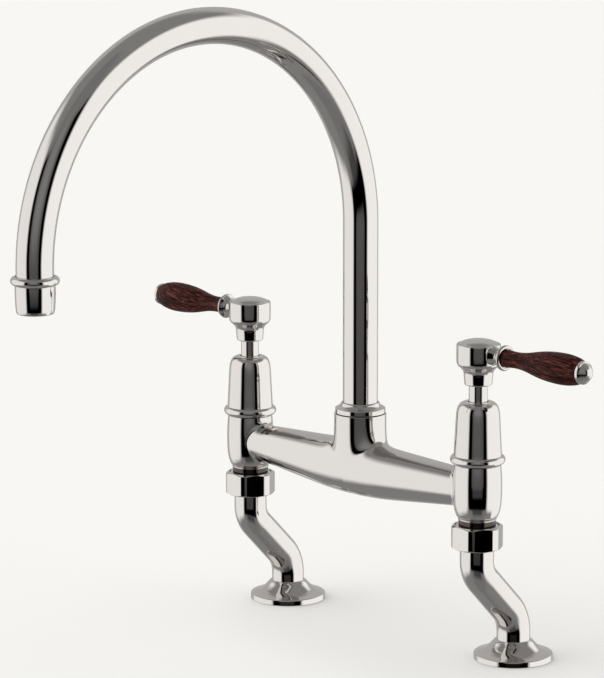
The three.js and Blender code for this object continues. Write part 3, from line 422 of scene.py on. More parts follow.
def cut_with(piece, tool, operation="DIFFERENCE"):
    """Cuts a piece with a tool, or keeps what lies in the tool, and throws the tool away."""
    apply_modifier(piece, "BOOLEAN", operation=operation, object=tool, solver="EXACT")
    bpy.data.objects.remove(tool)


def copied(piece, name, move=(0, 0, 0), turn=0.0):
    """A copy with its own mesh, turned about the spout's axis or moved, its place kept in the mesh."""
    select_only(piece)
    bpy.ops.object.duplicate()
    copy = bpy.context.active_object
    copy.name = name
    copy.data.name = name
    bpy.ops.object.mode_set(mode="EDIT")
    bpy.ops.mesh.select_all(action="SELECT")
    if turn:
        bpy.ops.transform.rotate(value=turn, orient_axis="Z", center_override=(0, 0, 0))
    bpy.ops.transform.translate(value=move)
    bpy.ops.object.mode_set(mode="OBJECT")
    return copy


def finish_piece(piece, material, body, *nodes):
    """Gives a piece its finish and its body, and puts it in the place of its CAD nodes."""
    name, slot = material
    piece.data.materials.clear()
    piece.data.materials.append(bpy.data.materials[name])
    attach(piece, body)
    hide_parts(*nodes)


def both_sides(piece, material, body, node, by_turning=True):
    """Finishes the cold side's piece and copies it to the hot side, turned about the spout or only moved."""
    name = piece.name.replace("cold", "hot")
    if by_turning:
        other = copied(piece, name, turn=math.pi)
    else:
        other = copied(piece, name, move=(-bpy.context.scene.faucet_bridge.valve_centres, 0, 0))
    for side, made in (("cold", piece), ("hot", other)):
        finish_piece(made, material, body.format(side=side), f"{side}_{node}")


def valve_place():
    """Where the cold valve's axis meets the deck."""
    return (bpy.context.scene.faucet_bridge.valve_centres / 2, 0, 0)


# ---------------------------------------------------------------- bridge

# In millimetres
ARM_BEND = 12.0  # how softly the two arms' axes meet
ARM_TAPER_START = 23.0  # from the spout's axis
ARM_SOFTNESS = 5.0  # how softly the taper starts
BARREL_SPARE = 2  # that the barrels are first made longer at both ends
BRIDGE_SKIN = 0.1  # that the bridge's own skin lies outside the valve bodies
ON_SURFACE = 0.05  # a vertex this near to the surface takes its normal
NEAR_SOCKET = 40  # the socket's faces lie nearer to the spout's axis than this
NEAR_VALVES = 80  # and the barrels' faces further from it than this

SOCKET_FADE = 0.6  # how fast the socket's fillet narrows where the arms run level with it
SOCKET_ORDER = 7  # how tightly that fillet hugs its crease


def filleted(near, far, alike, fillet, fade=1.0, order=2):
    """The union of two distances with a fillet. It narrows to nothing where the surfaces run alike."""
    reach = fillet * np.maximum(1 - alike, 1e-4) ** fade
    blend = np.maximum(reach - np.abs(near - far), 0) / reach
    return np.minimum(near, far) - blend**order * reach / (2 * order)


def bridge_distance(places, sizes):
    """How far each place lies outside the bridge and its barrels, in millimetres."""
    x, y, z = places.T
    along = np.abs(x)
    middle = sizes.arm_height / MM
    axis = middle + math.tan(sizes.arm_droop) * (np.hypot(along, ARM_BEND) - ARM_BEND)
    past = along - ARM_TAPER_START
    radius = sizes.arm_radius / MM - sizes.arm_taper / 2 * (past + np.hypot(past, ARM_SOFTNESS))
    beyond = np.maximum(along - sizes.valve_centres / 2 / MM, 0)
    from_axis = np.sqrt(y**2 + (z - axis) ** 2 + beyond**2)
    arms = from_axis - radius

    below = np.minimum(z - middle, 0)
    from_socket = np.sqrt(x**2 + y**2 + below**2)
    socket = from_socket - sizes.socket_radius / MM
    alike = (y**2 + (z - axis) * below) / (from_axis * from_socket)
    tee = filleted(arms, socket, alike, sizes.socket_blend / MM, SOCKET_FADE, SOCKET_ORDER)

    drawn = curve(BARREL_CURVE)
    from_valve = np.hypot(along - sizes.valve_centres / 2 / MM, y)
    barrel = from_valve - np.interp(z, [p.y for p in drawn], [p.x for p in drawn])
    ends = np.maximum(BARREL_ENDS[0] - BARREL_SPARE - z, z - BARREL_ENDS[1] - BARREL_SPARE)
    barrel = np.maximum(barrel, ends)
    alike = y**2 / np.maximum(from_axis * from_valve, 1e-3)
    return filleted(tee, barrel, alike, sizes.valve_blend / MM)


def bridge_slope(places, sizes, step=0.01):
    """The way in which the distance to the bridge grows fastest at each place."""
    return np.stack([
        (bridge_distance(places + shift, sizes) - bridge_distance(places - shift, sizes)) / (2 * step)
        for shift in np.eye(3) * step
    ], -1)


def places_of(mesh):
    """The places of a mesh's vertices, in millimetres."""
    flat = np.zeros(len(mesh.vertices) * 3)
    mesh.vertices.foreach_get("co", flat)
    return flat.reshape(-1, 3) / MM


def settle(piece, sizes, rounds=4):
    """Lets each vertex slide onto the bridge's surface, along the way that the distance falls."""
    places = places_of(piece.data)
    for _ in range(rounds):
        slope = bridge_slope(places, sizes)
        ahead = bridge_distance(places, sizes) / np.maximum((slope**2).sum(-1), 0.05)
        places = places - slope * ahead[:, None]
    piece.data.vertices.foreach_set("co", (places * MM).ravel())
    piece.data.update()


def smooth_normals(piece, sizes):
    """Gives the face corners on the bridge's surface its own normal, so that reflections run true."""
    mesh = piece.data
    places = places_of(mesh)
    slope = bridge_slope(places, sizes)
    slope /= np.maximum(np.linalg.norm(slope, axis=1), 1e-6)[:, None]
    on_surface = np.abs(bridge_distance(places, sizes)) < ON_SURFACE
    vertex_of = np.zeros(len(mesh.loops), int)
    mesh.loops.foreach_get("vertex_index", vertex_of)
    counts = np.zeros(len(mesh.polygons), int)
    mesh.polygons.foreach_get("loop_total", counts)
    facing = np.zeros(len(mesh.polygons) * 3)
    mesh.polygons.foreach_get("normal", facing)
    facing = np.repeat(facing.reshape(-1, 3), counts, axis=0)
    normals = slope[vertex_of]
    follows = on_surface[vertex_of] & ((normals * facing).sum(-1) > 0.9)
    normals[~follows] = 0
    mesh.normals_split_custom_set(normals.tolist())


def select_where(piece, wanted):
    """Selects the faces whose centre is wanted. The mesh is open for editing before and after."""
    bpy.ops.mesh.select_all(action="DESELECT")
    bpy.ops.object.mode_set(mode="OBJECT")
    for face in piece.data.polygons:
        face.select = wanted(face.center)
    bpy.ops.object.mode_set(mode="EDIT")
    bpy.ops.mesh.select_mode(type="FACE")


class FAUCET_OT_bridge(bpy.types.Operator):
    """Models the bridge: two drooping arms and the spout's socket, blended into each other and the valves"""

    bl_idname = "faucet.bridge"
    bl_label = "Bridge"

    def execute(self, context):
        sizes = context.scene.faucet_bridge
        # Rough blanks, which are drawn onto the true surface once they are one mesh
        end = sizes.valve_centres / 2 / MM
        root = sizes.arm_radius / MM
        blank = [(0, -end), (11.3, -end), (root, -24), (root, 24), (11.3, end), (0, end)]
        middle = (0, 0, sizes.arm_height + 1.5 * MM)
        arms = turned("bridge_tee", blank, place=middle, along="X", sides=BLANK_SIDES)
        top = sizes.socket_top / MM + 4
        blank = [(0, 105), (root, 105), (root, top), (0, top)]
        socket = turned("socket", blank, sides=BLANK_SIDES)
        low, high = BARREL_ENDS[0] - BARREL_SPARE, BARREL_ENDS[1] + BARREL_SPARE
        blank = [(0, low), (11.5, low), (11.5, 95), (14.9, 106), (14.9, 119), (14.3, high), (0, high)]
        barrels = [
            turned("barrel", blank, place=(side * end * MM, 0, 0), sides=BLANK_SIDES) for side in (-1, 1)
        ]
        select_only(arms, socket, *barrels)
        bpy.ops.object.join()
        arms.data.remesh_voxel_size = BRIDGE_VOXEL * MM
        arms.data.remesh_voxel_adaptivity = 0
        bpy.ops.object.voxel_remesh()
        for _ in range(3):
            bpy.ops.object.mode_set(mode="EDIT")
            bpy.ops.mesh.select_all(action="SELECT")
            bpy.ops.mesh.vertices_smooth(factor=0.5, repeat=4)
            bpy.ops.object.mode_set(mode="OBJECT")
            settle(arms, sizes)

        bpy.ops.object.mode_set(mode="EDIT")
        # The barrels are cut to length; the threaded tails and the shrouds follow there
        for height, above in zip(BARREL_ENDS, (False, True)):
            select_where(arms, lambda place: abs(place.x) > NEAR_VALVES * MM)
            bpy.ops.mesh.bisect(
                plane_co=(0, 0, height * MM), plane_no=(0, 0, 1), use_fill=True, clear_inner=not above,
                clear_outer=above,
            )
        select_where(arms, lambda place: abs(place.x) < NEAR_SOCKET * MM)
        rim = sizes.socket_top - 1.0 * MM
        bpy.ops.mesh.bisect(plane_co=(0, 0, rim), plane_no=(0, 0, 1), clear_outer=True)
        # The cut edge is drawn up to the rim, rounded over and led down into the bore
        path = SOCKET_SIDE + bead(*SOCKET_EDGE, (0, 90), steps=5) + SOCKET_BORE
        for (radius, height), (new_radius, new_height) in zip(path, path[1:]):
            bpy.ops.mesh.extrude_edges_move(
                TRANSFORM_OT_translate={"value": (0, 0, (new_height - height) * MM)}
            )
            ratio = new_radius / radius
            bpy.ops.transform.resize(value=(ratio, ratio, 1), center_override=(0, 0, new_height * MM))
        bpy.ops.mesh.edge_face_add()
        bpy.ops.mesh.select_all(action="SELECT")
        bpy.ops.mesh.normals_make_consistent(inside=False)
        bpy.ops.object.mode_set(mode="OBJECT")
        shade(arms, 40)
        smooth_normals(arms, sizes)
        finish_piece(arms, NICKEL, "bridge", "bridge_body")
        return {"FINISHED"}


class FAUCET_OT_collar(bpy.types.Operator):
    """Turns the coned collar that closes the spout's socket"""

    bl_idname = "faucet.collar"
    bl_label = "Spout Collar"

    def execute(self, context):
        outline = rounded(COLLAR_BAND) + curve(COLLAR_CONE) + rounded(COLLAR_TOP)
        collar = turned("socket_collar", outline)
        finish_piece(collar, NICKEL, "bridge", "spout_collar")
        return {"FINISHED"}


# ---------------------------------------------------------------- spout


def select_ring(piece, near, radius):
    """Selects the open edge loop whose vertices all lie within a radius of a place."""
    bpy.ops.mesh.select_mode(type="VERT")
    bpy.ops.mesh.select_all(action="DESELECT")
    bpy.ops.object.mode_set(mode="OBJECT")
    for vertex in piece.data.vertices:
        vertex.select = (vertex.co - Vector(near)).length < radius
    bpy.ops.object.mode_set(mode="EDIT")


def extrude_up(height):
    """Draws the selected edges up, or down where the height is negative."""
    bpy.ops.mesh.extrude_edges_move(TRANSFORM_OT_translate={"value": (0, 0, height)})


class FAUCET_OT_spout(bpy.types.Operator):
    """Bends the swan neck: a tube extruded upright, spun through a half circle and led down to the outlet"""

    bl_idname = "faucet.spout"
    bl_label = "Swan Neck"

    def execute(self, context):
        sizes = context.scene.faucet_spout
        bpy.ops.object.select_all(action="DESELECT")
        bpy.ops.mesh.primitive_circle_add(
            vertices=TUBE_SIDES, radius=sizes.tube_radius, fill_type="NOTHING", location=(0, 0, 0)
        )
        neck = start_piece("swan_neck")
        bpy.ops.mesh.select_all(action="SELECT")
        bpy.ops.transform.translate(value=(0, 0, sizes.foot))
        guard = NECK_GUARD * MM
        extrude_up(sizes.curve - sizes.foot - guard)
        extrude_up(guard)
        centre = (0, -sizes.reach / 2, sizes.curve)
        bpy.ops.mesh.spin(steps=NECK_STEPS, angle=-math.pi, center=centre, axis=(1, 0, 0))
        bpy.ops.object.mode_set(mode="OBJECT")
        if max(v.co.z for v in neck.data.vertices) < sizes.curve + sizes.reach / 4:
            raise RuntimeError("the swan neck was bent downwards")
        bpy.ops.object.mode_set(mode="EDIT")
        tip = (0, -sizes.reach, sizes.curve)
        select_ring(neck, tip, sizes.tube_radius + 0.1 * MM)
        extrude_up(-guard)
        extrude_up(sizes.tip - sizes.curve + guard)
        tidy_mesh()
        bpy.ops.object.mode_set(mode="OBJECT")
        apply_modifier(neck, "SOLIDIFY", thickness=sizes.tube_wall, offset=-1, use_even_offset=True)
        shade(neck)
        finish_piece(neck, NICKEL, "spout", "spout_tube")
        return {"FINISHED"}


class FAUCET_OT_outlet(bpy.types.Operator):
    """Turns the outlet's beaded sleeve and, in it, the aerator's ring and its drilled screen"""

    bl_idname = "faucet.outlet"
    bl_label = "Outlet and Aerator"

    def execute(self, context):
        sizes = context.scene.faucet_spout
        place = (0, -sizes.reach, 0)
        centre = SLEEVE_BEAD_REACH - SLEEVE_BEAD_RADIUS
        swell = bead(centre, SLEEVE_BEAD_HEIGHT, SLEEVE_BEAD_RADIUS, SLEEVE_BEAD_ARC)
        outline = rounded(SLEEVE_BORE) + curve(SLEEVE_SIDE) + swell + rounded(SLEEVE_TOP)
        sleeve = turned("outlet_sleeve", outline, place=place)
        finish_piece(sleeve, NICKEL, "spout", "spout_outlet")
        ring = turned("aerator_ring", rounded(AERATOR_RING, closed=True), place=place)
        finish_piece(ring, BRASS, "spout", "aerator_housing")
        screen = turned("aerator_screen", rounded(AERATOR_SCREEN), place=place, sides=SMALL_SIDES)
        cut_with(screen, self.drills(sizes, place))
        shade(screen)
        finish_piece(screen, ACETAL, "spout", "aerator_insert")
        return {"FINISHED"}

    def drills(self, sizes, place):
        """The drills of the screen: one in the middle, and rings of them round it."""
        drills = []
        for ring, count in enumerate(SCREEN_RINGS):
            reach = ring * sizes.screen_pitch
            for i in range(count):
                angle = FULL_TURN * i / count
                spot = (reach * math.cos(angle), place[1] + reach * math.sin(angle), DRILL_HEIGHT * MM)
                bpy.ops.mesh.primitive_cylinder_add(
                    vertices=DRILL_SIDES, radius=sizes.screen_hole, depth=DRILL_LENGTH * MM, location=spot
                )
                drills.append(bpy.context.active_object)
        select_only(*drills)
        bpy.ops.object.join()
        return bpy.context.active_object


# ---------------------------------------------------------------- valves


class FAUCET_OT_valve_bodies(bpy.types.Operator):
    """Turns the valve bodies: a bellied barrel over a threaded tail, with a dark sleeve on its neck whose
    colour paints the shade between the barrel and the nut
    """

    bl_idname = "faucet.valve_bodies"
    bl_label = "Valve Bodies"

    def execute(self, context):
        belly = [Vector((radius - BRIDGE_SKIN, height)) for radius, height in BARREL_CURVE]
        outline = rounded(BARREL_TAIL) + curve(belly) + rounded(BARREL_TOP)
        barrel = turned("cold_barrel", outline, place=valve_place())
        both_sides(barrel, NICKEL, "bridge", "valve_body")
        # The dark sleeve paints the shade that falls on the neck between the barrel and the nut
        sleeve = turned("cold_neck", rounded(NECK_SHADE_SLEEVE, closed=True), place=valve_place())
        both_sides(sleeve, NECK_SHADE_BRASS, "bridge", "valve_body")
        return {"FINISHED"}


class FAUCET_OT_shrouds(bpy.types.Operator):
    """Turns the shrouds: a tapering cover with a round shoulder and a bead at its foot"""

    bl_idname = "faucet.shrouds"
    bl_label = "Shrouds"

    def execute(self, context):
        swell = bead(BEAD_REACH - BEAD_RADIUS, BEAD_HEIGHT, BEAD_RADIUS, BEAD_ARC)
        outline = swell + curve(SHROUD_SIDE) + rounded(SHROUD_TOP)
        shroud = turned("cold_cover", outline, place=valve_place())
        both_sides(shroud, NICKEL, "bridge", "shroud")
        return {"FINISHED"}


# ---------------------------------------------------------------- levers


class FAUCET_OT_hubs(bpy.types.Operator):
    """Turns the lever stems, the hubs with their coved skirts, and the domed caps"""

    bl_idname = "faucet.hubs"
    bl_label = "Stems, Hubs and Caps"

    def execute(self, context):
        stem = turned("cold_stem", rounded(STEM, closed=True), place=valve_place(), sides=SMALL_SIDES)
        both_sides(stem, NICKEL, "{side}_lever", "lever_stem")
        outline = rounded(HUB_SKIRT) + curve(HUB_COVE)
        outline += rounded([HUB_COVE[-1], *HUB_TOP]) + rounded(HUB_END)
        hub = turned("cold_hub", outline, place=valve_place())
        both_sides(hub, NICKEL, "{side}_lever", "lever_hub")
        outline = rounded(CAP_EDGE + CAP_DOME[:1])[:-1] + curve(CAP_DOME)
        cap = turned("cold_cap", outline, place=valve_place())
        both_sides(cap, NICKEL, "{side}_lever", "hub_cap")
        return {"FINISHED"}


def lever_place():
    """Where the cold lever's axis crosses its valve's."""
    return (*valve_place()[:2], bpy.context.scene.faucet_lever.height)


class FAUCET_OT_lever_arms(bpy.types.Operator):
    """Turns the lever arms: a round neck that opens like a bell into the ring that holds the grip"""

    bl_idname = "faucet.lever_arms"
    bl_label = "Lever Arms"

    def execute(self, context):
        outline = [Vector((0, ARM_NECK[0][1]))] + curve(ARM_NECK) + curve(ARM_RIM) + rounded(ARM_BORE)
        arm = turned("cold_arm", outline, place=lever_place(), along="X", sides=TUBE_SIDES)
        both_sides(arm, NICKEL, "{side}_lever", "lever_arm")
        return {"FINISHED"}


class FAUCET_OT_grips(bpy.types.Operator):
    """Turns the wooden grips, and the metal caps on their ends"""

    bl_idname = "faucet.grips"
    bl_label = "Grips and End Caps"

    def execute(self, context):
        bore = [(GRIP_BORE, GRIP_CURVE[-1][1]), (GRIP_BORE, GRIP_CURVE[0][1])]
        outline = curve(GRIP_CURVE) + rounded(bore)
        grip = turned("cold_handle", outline, place=lever_place(), along="X", sides=TUBE_SIDES)
        both_sides(grip, ROSEWOOD, "{side}_lever", "grip")
        outline = [Vector((0, END_CAP_EDGE[0][1]))] + rounded(END_CAP_EDGE)[:-1] + curve(END_CAP_DOME)
        # The cap's rim and shoulder meet at a blunt edge, which stays crisp
        cap = turned(
            "cold_finial", outline, place=lever_place(), along="X", sides=TUBE_SIDES, degrees=END_CAP_SHARP
        )
        both_sides(cap, NICKEL, "{side}_lever", "end_cap")
        return {"FINISHED"}


# ---------------------------------------------------------------- legs


class FAUCET_OT_legs(bpy.types.Operator):
    """Bends the cranked legs: a tube extruded from the foot, spun back, led up and spun upright again"""

    bl_idname = "faucet.legs"
    bl_label = "Cranked Legs"

    def execute(self, context):
        sizes = context.scene.faucet_leg
        bpy.ops.object.select_all(action="DESELECT")
        bpy.ops.mesh.primitive_circle_add(
            vertices=LEG_SIDES, radius=sizes.radius, fill_type="NGON", location=(0, 0, 0)
        )
        leg = start_piece("cold_crank")
        bpy.ops.mesh.select_all(action="SELECT")
        bpy.ops.transform.translate(value=(0, sizes.offset, sizes.foot))
        x, y, z = 0, sizes.offset, sizes.lower_bend_height
        guard = LEG_GUARD * MM
        self.extrude((0, 0, z - sizes.foot - guard))
        self.extrude((0, 0, guard))
        slope = sizes.slope
        bpy.ops.mesh.spin(
            steps=LEG_STEPS, angle=-slope, center=(x, y - sizes.lower_bend, z), axis=(1, 0, 0)
        )
        run = (sizes.lower_bend + sizes.upper_bend) * (1 - math.cos(slope))
        straight = (sizes.offset - run) / math.sin(slope)
        way = Vector((0, -math.sin(slope), math.cos(slope)))
        for part in (guard, straight - 2 * guard, guard):
            self.extrude(way * part)
        y -= sizes.lower_bend * (1 - math.cos(slope)) + straight * math.sin(slope)
        z += sizes.lower_bend * math.sin(slope) + straight * math.cos(slope)
        centre = Vector((x, y, z)) + Vector((0, math.cos(slope), math.sin(slope))) * sizes.upper_bend
        bpy.ops.mesh.spin(steps=LEG_STEPS, angle=slope, center=centre, axis=(1, 0, 0))
        z += sizes.upper_bend * math.sin(slope)
        self.extrude((0, 0, guard))
        self.extrude((0, 0, sizes.head - z - guard))
        tidy_mesh()
        bpy.ops.transform.translate(value=valve_place())
        bpy.ops.object.mode_set(mode="OBJECT")
        shade(leg)
        both_sides(leg, NICKEL, "{side}_leg_set", "leg", by_turning=False)
        return {"FINISHED"}

    def extrude(self, way):
        """Draws the selected face along a way."""
        bpy.ops.mesh.extrude_region_move(TRANSFORM_OT_translate={"value": way})


class FAUCET_OT_union_nuts(bpy.types.Operator):
    """Cuts the union nuts: a hexagon with rounded corners, chamfered above and below and bored out"""

    bl_idname = "faucet.union_nuts"
    bl_label = "Union Nuts"

    def execute(self, context):
        sizes = context.scene.faucet_leg
        bpy.ops.object.select_all(action="DESELECT")
        bpy.ops.mesh.primitive_cylinder_add(
            vertices=6,
            radius=sizes.nut_flats / 2 / math.cos(math.pi / 6),
            depth=sizes.nut_top - sizes.nut_foot,
            location=(0, 0, 0),
        )
        nut = start_piece("cold_hex_nut")
        bpy.ops.mesh.select_all(action="SELECT")
        # Two corners of the primitive lie on the Y axis
        bpy.ops.transform.rotate(value=-sizes.nut_turn, orient_axis="Z", center_override=(0, 0, 0))
        bpy.ops.transform.translate(value=(0, 0, (sizes.nut_top + sizes.nut_foot) / 2))
        for offset, segments in NUT_CORNERS:
            self.select_upright(nut)
            bpy.ops.mesh.bevel(offset=offset * MM, segments=segments)
        bpy.ops.object.mode_set(mode="OBJECT")
        cut_with(nut, turned("nut_blank", [Vector(p) for p in NUT_BLANK]), "INTERSECT")
        cut_with(nut, turned("nut_bore", [Vector(p) for p in NUT_BORE]))
        apply_modifier(
            nut, "BEVEL", width=NUT_EDGE * MM, segments=2, limit_method="ANGLE", angle_limit=math.radians(12)
        )
        shade(nut, 40)
        apply_modifier(nut, "WEIGHTED_NORMAL", keep_sharp=True, weight=100)
        bpy.ops.object.mode_set(mode="EDIT")
        bpy.ops.mesh.select_all(action="SELECT")
        bpy.ops.transform.translate(value=valve_place())
        bpy.ops.object.mode_set(mode="OBJECT")
        both_sides(nut, NICKEL, "bridge", "union_nut", by_turning=False)
        return {"FINISHED"}

    def select_upright(self, nut):
        """Selects the nut's upright edges."""
        bpy.ops.mesh.select_mode(type="EDGE")
        bpy.ops.mesh.select_all(action="DESELECT")
        bpy.ops.object.mode_set(mode="OBJECT")
        for edge in nut.data.edges:
            low, high = (nut.data.vertices[i].co.z for i in edge.vertices)
            edge.select = abs(low - high) > MM
        bpy.ops.object.mode_set(mode="EDIT")


class FAUCET_OT_foot_flanges(bpy.types.Operator):
    """Turns the foot flanges, which flare up to the legs, and the seals in their undersides"""

    bl_idname = "faucet.foot_flanges"
    bl_label = "Foot Flanges and Seals"

    def execute(self, context):
        place = (valve_place()[0], context.scene.faucet_leg.offset, 0)
        outline = rounded(FLANGE + FLANGE_FLARE[:1])[:-1] + curve(FLANGE_FLARE)
        outline += rounded([FLANGE_FLARE[-1], *FLANGE_TOP])[1:]
        flange = turned("cold_foot", outline, place=place)
        both_sides(flange, NICKEL, "{side}_leg_set", "foot_flange", by_turning=False)
        seal = turned("cold_foot_seal", rounded(DECK_SEAL, closed=True), place=place, sides=TUBE_SIDES)
        both_sides(seal, RUBBER, "{side}_leg_set", "deck_seal", by_turning=False)
        return {"FINISHED"}


# ---------------------------------------------------------------- finishes

WAVE_BAND = 0.31  # the width of one band of the wave texture at scale 1, in metres


def add(tree, kind, settings=None, links=None):
    """Adds a node to a tree, with its settings, its sockets' values and its links."""
    node = tree.nodes.new(kind)
    for name, value in (settings or {}).items():
        if isinstance(name, int) or name[0].isupper():
            node.inputs[name].default_value = value
        else:
            setattr(node, name, value)
    for name, socket in (links or {}).items():
        tree.links.new(socket, node.inputs[name])
    return node


def new_material(finish, base, metallic, roughness, **sockets):
    """A material with its constants on the shader, and the object's coordinates to draw patterns with."""
    material = bpy.data.materials.new(finish[0])
    material.use_nodes = True
    material.diffuse_color = (*base, 1)
    tree = material.node_tree
    shader = tree.nodes["Principled BSDF"]
    values = {"Base Color": (*base, 1), "Metallic": metallic, "Roughness": roughness, **sockets}
    for name, value in values.items():
        shader.inputs[name].default_value = value
    place = add(tree, "ShaderNodeTexCoord").outputs["Object"]
    return tree, shader, place


def patches(tree, place, grain, detail=2.0, stretch=(1, 1, 1)):
    """Uneven patches that measure about a grain in millimetres, drawn out along the axes by the stretch."""
    scale = tuple(1 / s for s in stretch)
    mapped = add(tree, "ShaderNodeMapping", {"Scale": scale}, {"Vector": place}).outputs[0]
    sizes = {"Scale": 1 / (grain * MM), "Detail": detail}
    return add(tree, "ShaderNodeTexNoise", sizes, {"Vector": mapped}).outputs["Fac"]


def work_in(tree, shader, pattern, tints=(), roughness=(), relief=0.0, strength=1.0):
    """Works a pattern into a finish, from its lowest to its highest value: tints, each with the value where
    it stands, the two ends of the roughness, and a relief whose height is in millimetres."""
    if tints:
        tinting = add(tree, "ShaderNodeValToRGB", links={"Fac": pattern})
        stops = tinting.color_ramp.elements
        while len(stops) < len(tints):
            stops.new(0.5)
        for stop, (value, tint) in zip(stops, tints):
            stop.position = value
            stop.color = (*tint, 1)
        tree.links.new(tinting.outputs["Color"], shader.inputs["Base Color"])
    if roughness:
        ends = dict(zip(("To Min", "To Max"), roughness))
        shine = add(tree, "ShaderNodeMapRange", ends, {"Value": pattern})
        tree.links.new(shine.outputs["Result"], shader.inputs["Roughness"])
    if relief:
        size = {"Strength": strength, "Distance": relief * MM}
        raised = add(tree, "ShaderNodeBump", size, {"Height": pattern})
        tree.links.new(raised.outputs["Normal"], shader.inputs["Normal"])


def streak(tree, shader, pattern, span, factors):
    """Darkens or lightens the colour so far, from one factor where a pattern is low to another where high."""
    ends = dict(zip(("From Min", "From Max", "To Min", "To Max"), (*span, *factors)))
    factor = add(tree, "ShaderNodeMapRange", ends, {"Value": pattern}).outputs[0]
    colour_of = shader.inputs["Base Color"]
    so_far = colour_of.links[0].from_socket
    scaled = add(tree, "ShaderNodeVectorMath", {"operation": "SCALE"}, {0: so_far, 3: factor})
    tree.links.new(scaled.outputs[0], colour_of)


def polished_nickel(colours):
    """Nickel plate on brass, buffed to a mirror: warm grey, with only a breath of haze and buffing waves."""
    tree, shader, place = new_material(NICKEL, colours.nickel, 1.0, 0.05)
    work_in(tree, shader, patches(tree, place, 14.0, 3.0), roughness=(0.035, 0.075))
    # Buffing leaves waves some millimetres wide and well under a micron high
    work_in(tree, shader, patches(tree, place, 5.0, 1.0), relief=0.0006)


def turned_rosewood(colours):
    """Rosewood turned on a lathe and oiled: crisp dark streaks, pale streaks that are partly the wood's own
    grain and partly a painted highlight on the raised grain, and hardly any shine.
    """
    tree, shader, place = new_material(
        ROSEWOOD, colours.wood_red, 0.0, 0.4, **{"IOR": 1.5, "Specular IOR Level": 0.07}
    )
    # The grain runs 7 degrees off the grip's length, and drifts off that by some millimetres
    tilt = (0, math.radians(-7), 0)
    along = add(tree, "ShaderNodeMapping", {"Rotation": tilt}, {"Vector": place}).outputs[0]
    drift = patches(tree, along, 26.0, 1.0, stretch=(2.0, 1, 1))
    lift = add(tree, "ShaderNodeVectorMath", {"operation": "SCALE", "Scale": 9 * MM}, {0: drift})
    bent = add(tree, "ShaderNodeVectorMath", {"operation": "ADD"}, {0: along, 1: lift.outputs[0]}).outputs[0]
    # Growth layers some 3 mm apart
    tints = [(0.28, colours.wood_dark), (0.42, colours.wood_red), (0.60, colours.wood_light)]
    work_in(tree, shader, patches(tree, bent, 5.0, 2.0, stretch=(9, 1, 1)), tints)
    # Dark streaks 0.4 mm wide and about 10 mm long, and finer pale ones between them; the pale ones are
    # partly paler grain and partly a painted highlight that stands in for glints on the raised grain
    dark = patches(tree, bent, 0.75, 1.5, stretch=(24, 1, 1))
    streak(tree, shader, dark, (0.40, 0.56), (0.22, 1.15))
    pale = patches(tree, bent, 0.55, 1.0, stretch=(18, 1, 1))
    streak(tree, shader, pale, (0.48, 0.66), (0.75, 2.7))
    work_in(tree, shader, dark, roughness=(0.52, 0.32), relief=0.06, strength=0.6)


def off_the_lathe(finish, base, roughness, rings, spots):
    """A bare metal as the lathe left it: rings with a pitch, a waver and a height in millimetres, and
    spots with a grain, a detail, tints and two ends for the roughness."""
    tree, shader, place = new_material(finish, base, 1.0, roughness)
    pitch, waver, height = rings
    turning = {"bands_direction": "Z", "Scale": WAVE_BAND / (pitch * MM), "Distortion": waver}
    marks = add(tree, "ShaderNodeTexWave", turning, {"Vector": place}).outputs["Fac"]
    work_in(tree, shader, marks, relief=height)
    grain, detail, tints, ends = spots
    work_in(tree, shader, patches(tree, place, grain, detail), tints, ends)


def machined_brass(colours):
    """Brass left as the lathe cut it: faint rings a quarter of a millimetre apart, a little tarnish."""
    base = linear("#b8935c")
    tarnish = (3.0, 3.0, [(0.3, linear("#96723f")), (0.65, base)], (0.25, 0.4))
    off_the_lathe(BRASS, base, 0.3, (0.25, 0.3, 0.004), tarnish)


def neck_shade_brass(colours):
    """Dark brass whose colour paints the shade on the valve's neck, between the barrel and the nut: it
    mirrors the studio dimly and warm.
    """
    tree, shader, place = new_material(NECK_SHADE_BRASS, linear("#544d49"), 1.0, 0.12)
    work_in(tree, shader, patches(tree, place, 6.0, 3.0), roughness=(0.08, 0.14))


def turned_steel(colours):
    """Stainless steel, turned: a grey with fine rings and a satin shine."""
    base = linear("#a9aaab")
    sheen = (2.0, 2.0, [(0.3, linear("#8f9091")), (0.7, base)], (0.22, 0.34))
    off_the_lathe(STEEL, base, 0.28, (0.2, 0.2, 0.003), sheen)


def lapped_ceramic(colours):
    """Alumina, sintered and lapped flat: ivory, dense, with the finest speckle."""
    base = linear("#eeeae2")
    tree, shader, place = new_material(CERAMIC, base, 0.0, 0.2, IOR=1.76)
    speckle = patches(tree, place, 0.3, 3.0)
    work_in(tree, shader, speckle, [(0.35, linear("#e2ddd2")), (0.6, base)], (0.16, 0.26), 0.002)


def moulded_rubber(colours):
    """Nitrile rubber from a mould: near black, dull, with a fine dusty bloom."""
    base = linear("#1d1d1e")
    tree, shader, place = new_material(RUBBER, base, 0.0, 0.75, IOR=1.52)
    bloom = patches(tree, place, 1.5, 4.0)
    work_in(tree, shader, bloom, [(0.35, base), (0.75, linear("#343435"))], (0.65, 0.85))
    work_in(tree, shader, patches(tree, place, 0.2, 2.0), relief=0.01)


def pressed_fibre(colours):
    """Vulcanised fibre, pressed into sheet: brick red with felted threads."""
    base = linear("#7d3226")
    tree, shader, place = new_material(FIBRE, base, 0.0, 0.8, IOR=1.53)
    threads = patches(tree, place, 0.4, 3.0, stretch=(4, 4, 1))
    work_in(tree, shader, threads, [(0.3, linear("#5e2219")), (0.7, base)], (0.7, 0.9), 0.02)


def moulded_acetal(colours):
    """Acetal from a mould: milky white, waxy, with a faint flow pattern."""
    base = linear("#e6e4de")
    tree, shader, place = new_material(ACETAL, base, 0.0, 0.42, IOR=1.48)
    flow = patches(tree, place, 4.0, 2.0)
    work_in(tree, shader, flow, [(0.3, linear("#d9d6ce")), (0.7, base)], (0.36, 0.5))
    work_in(tree, shader, patches(tree, place, 0.5, 2.0), relief=0.004)


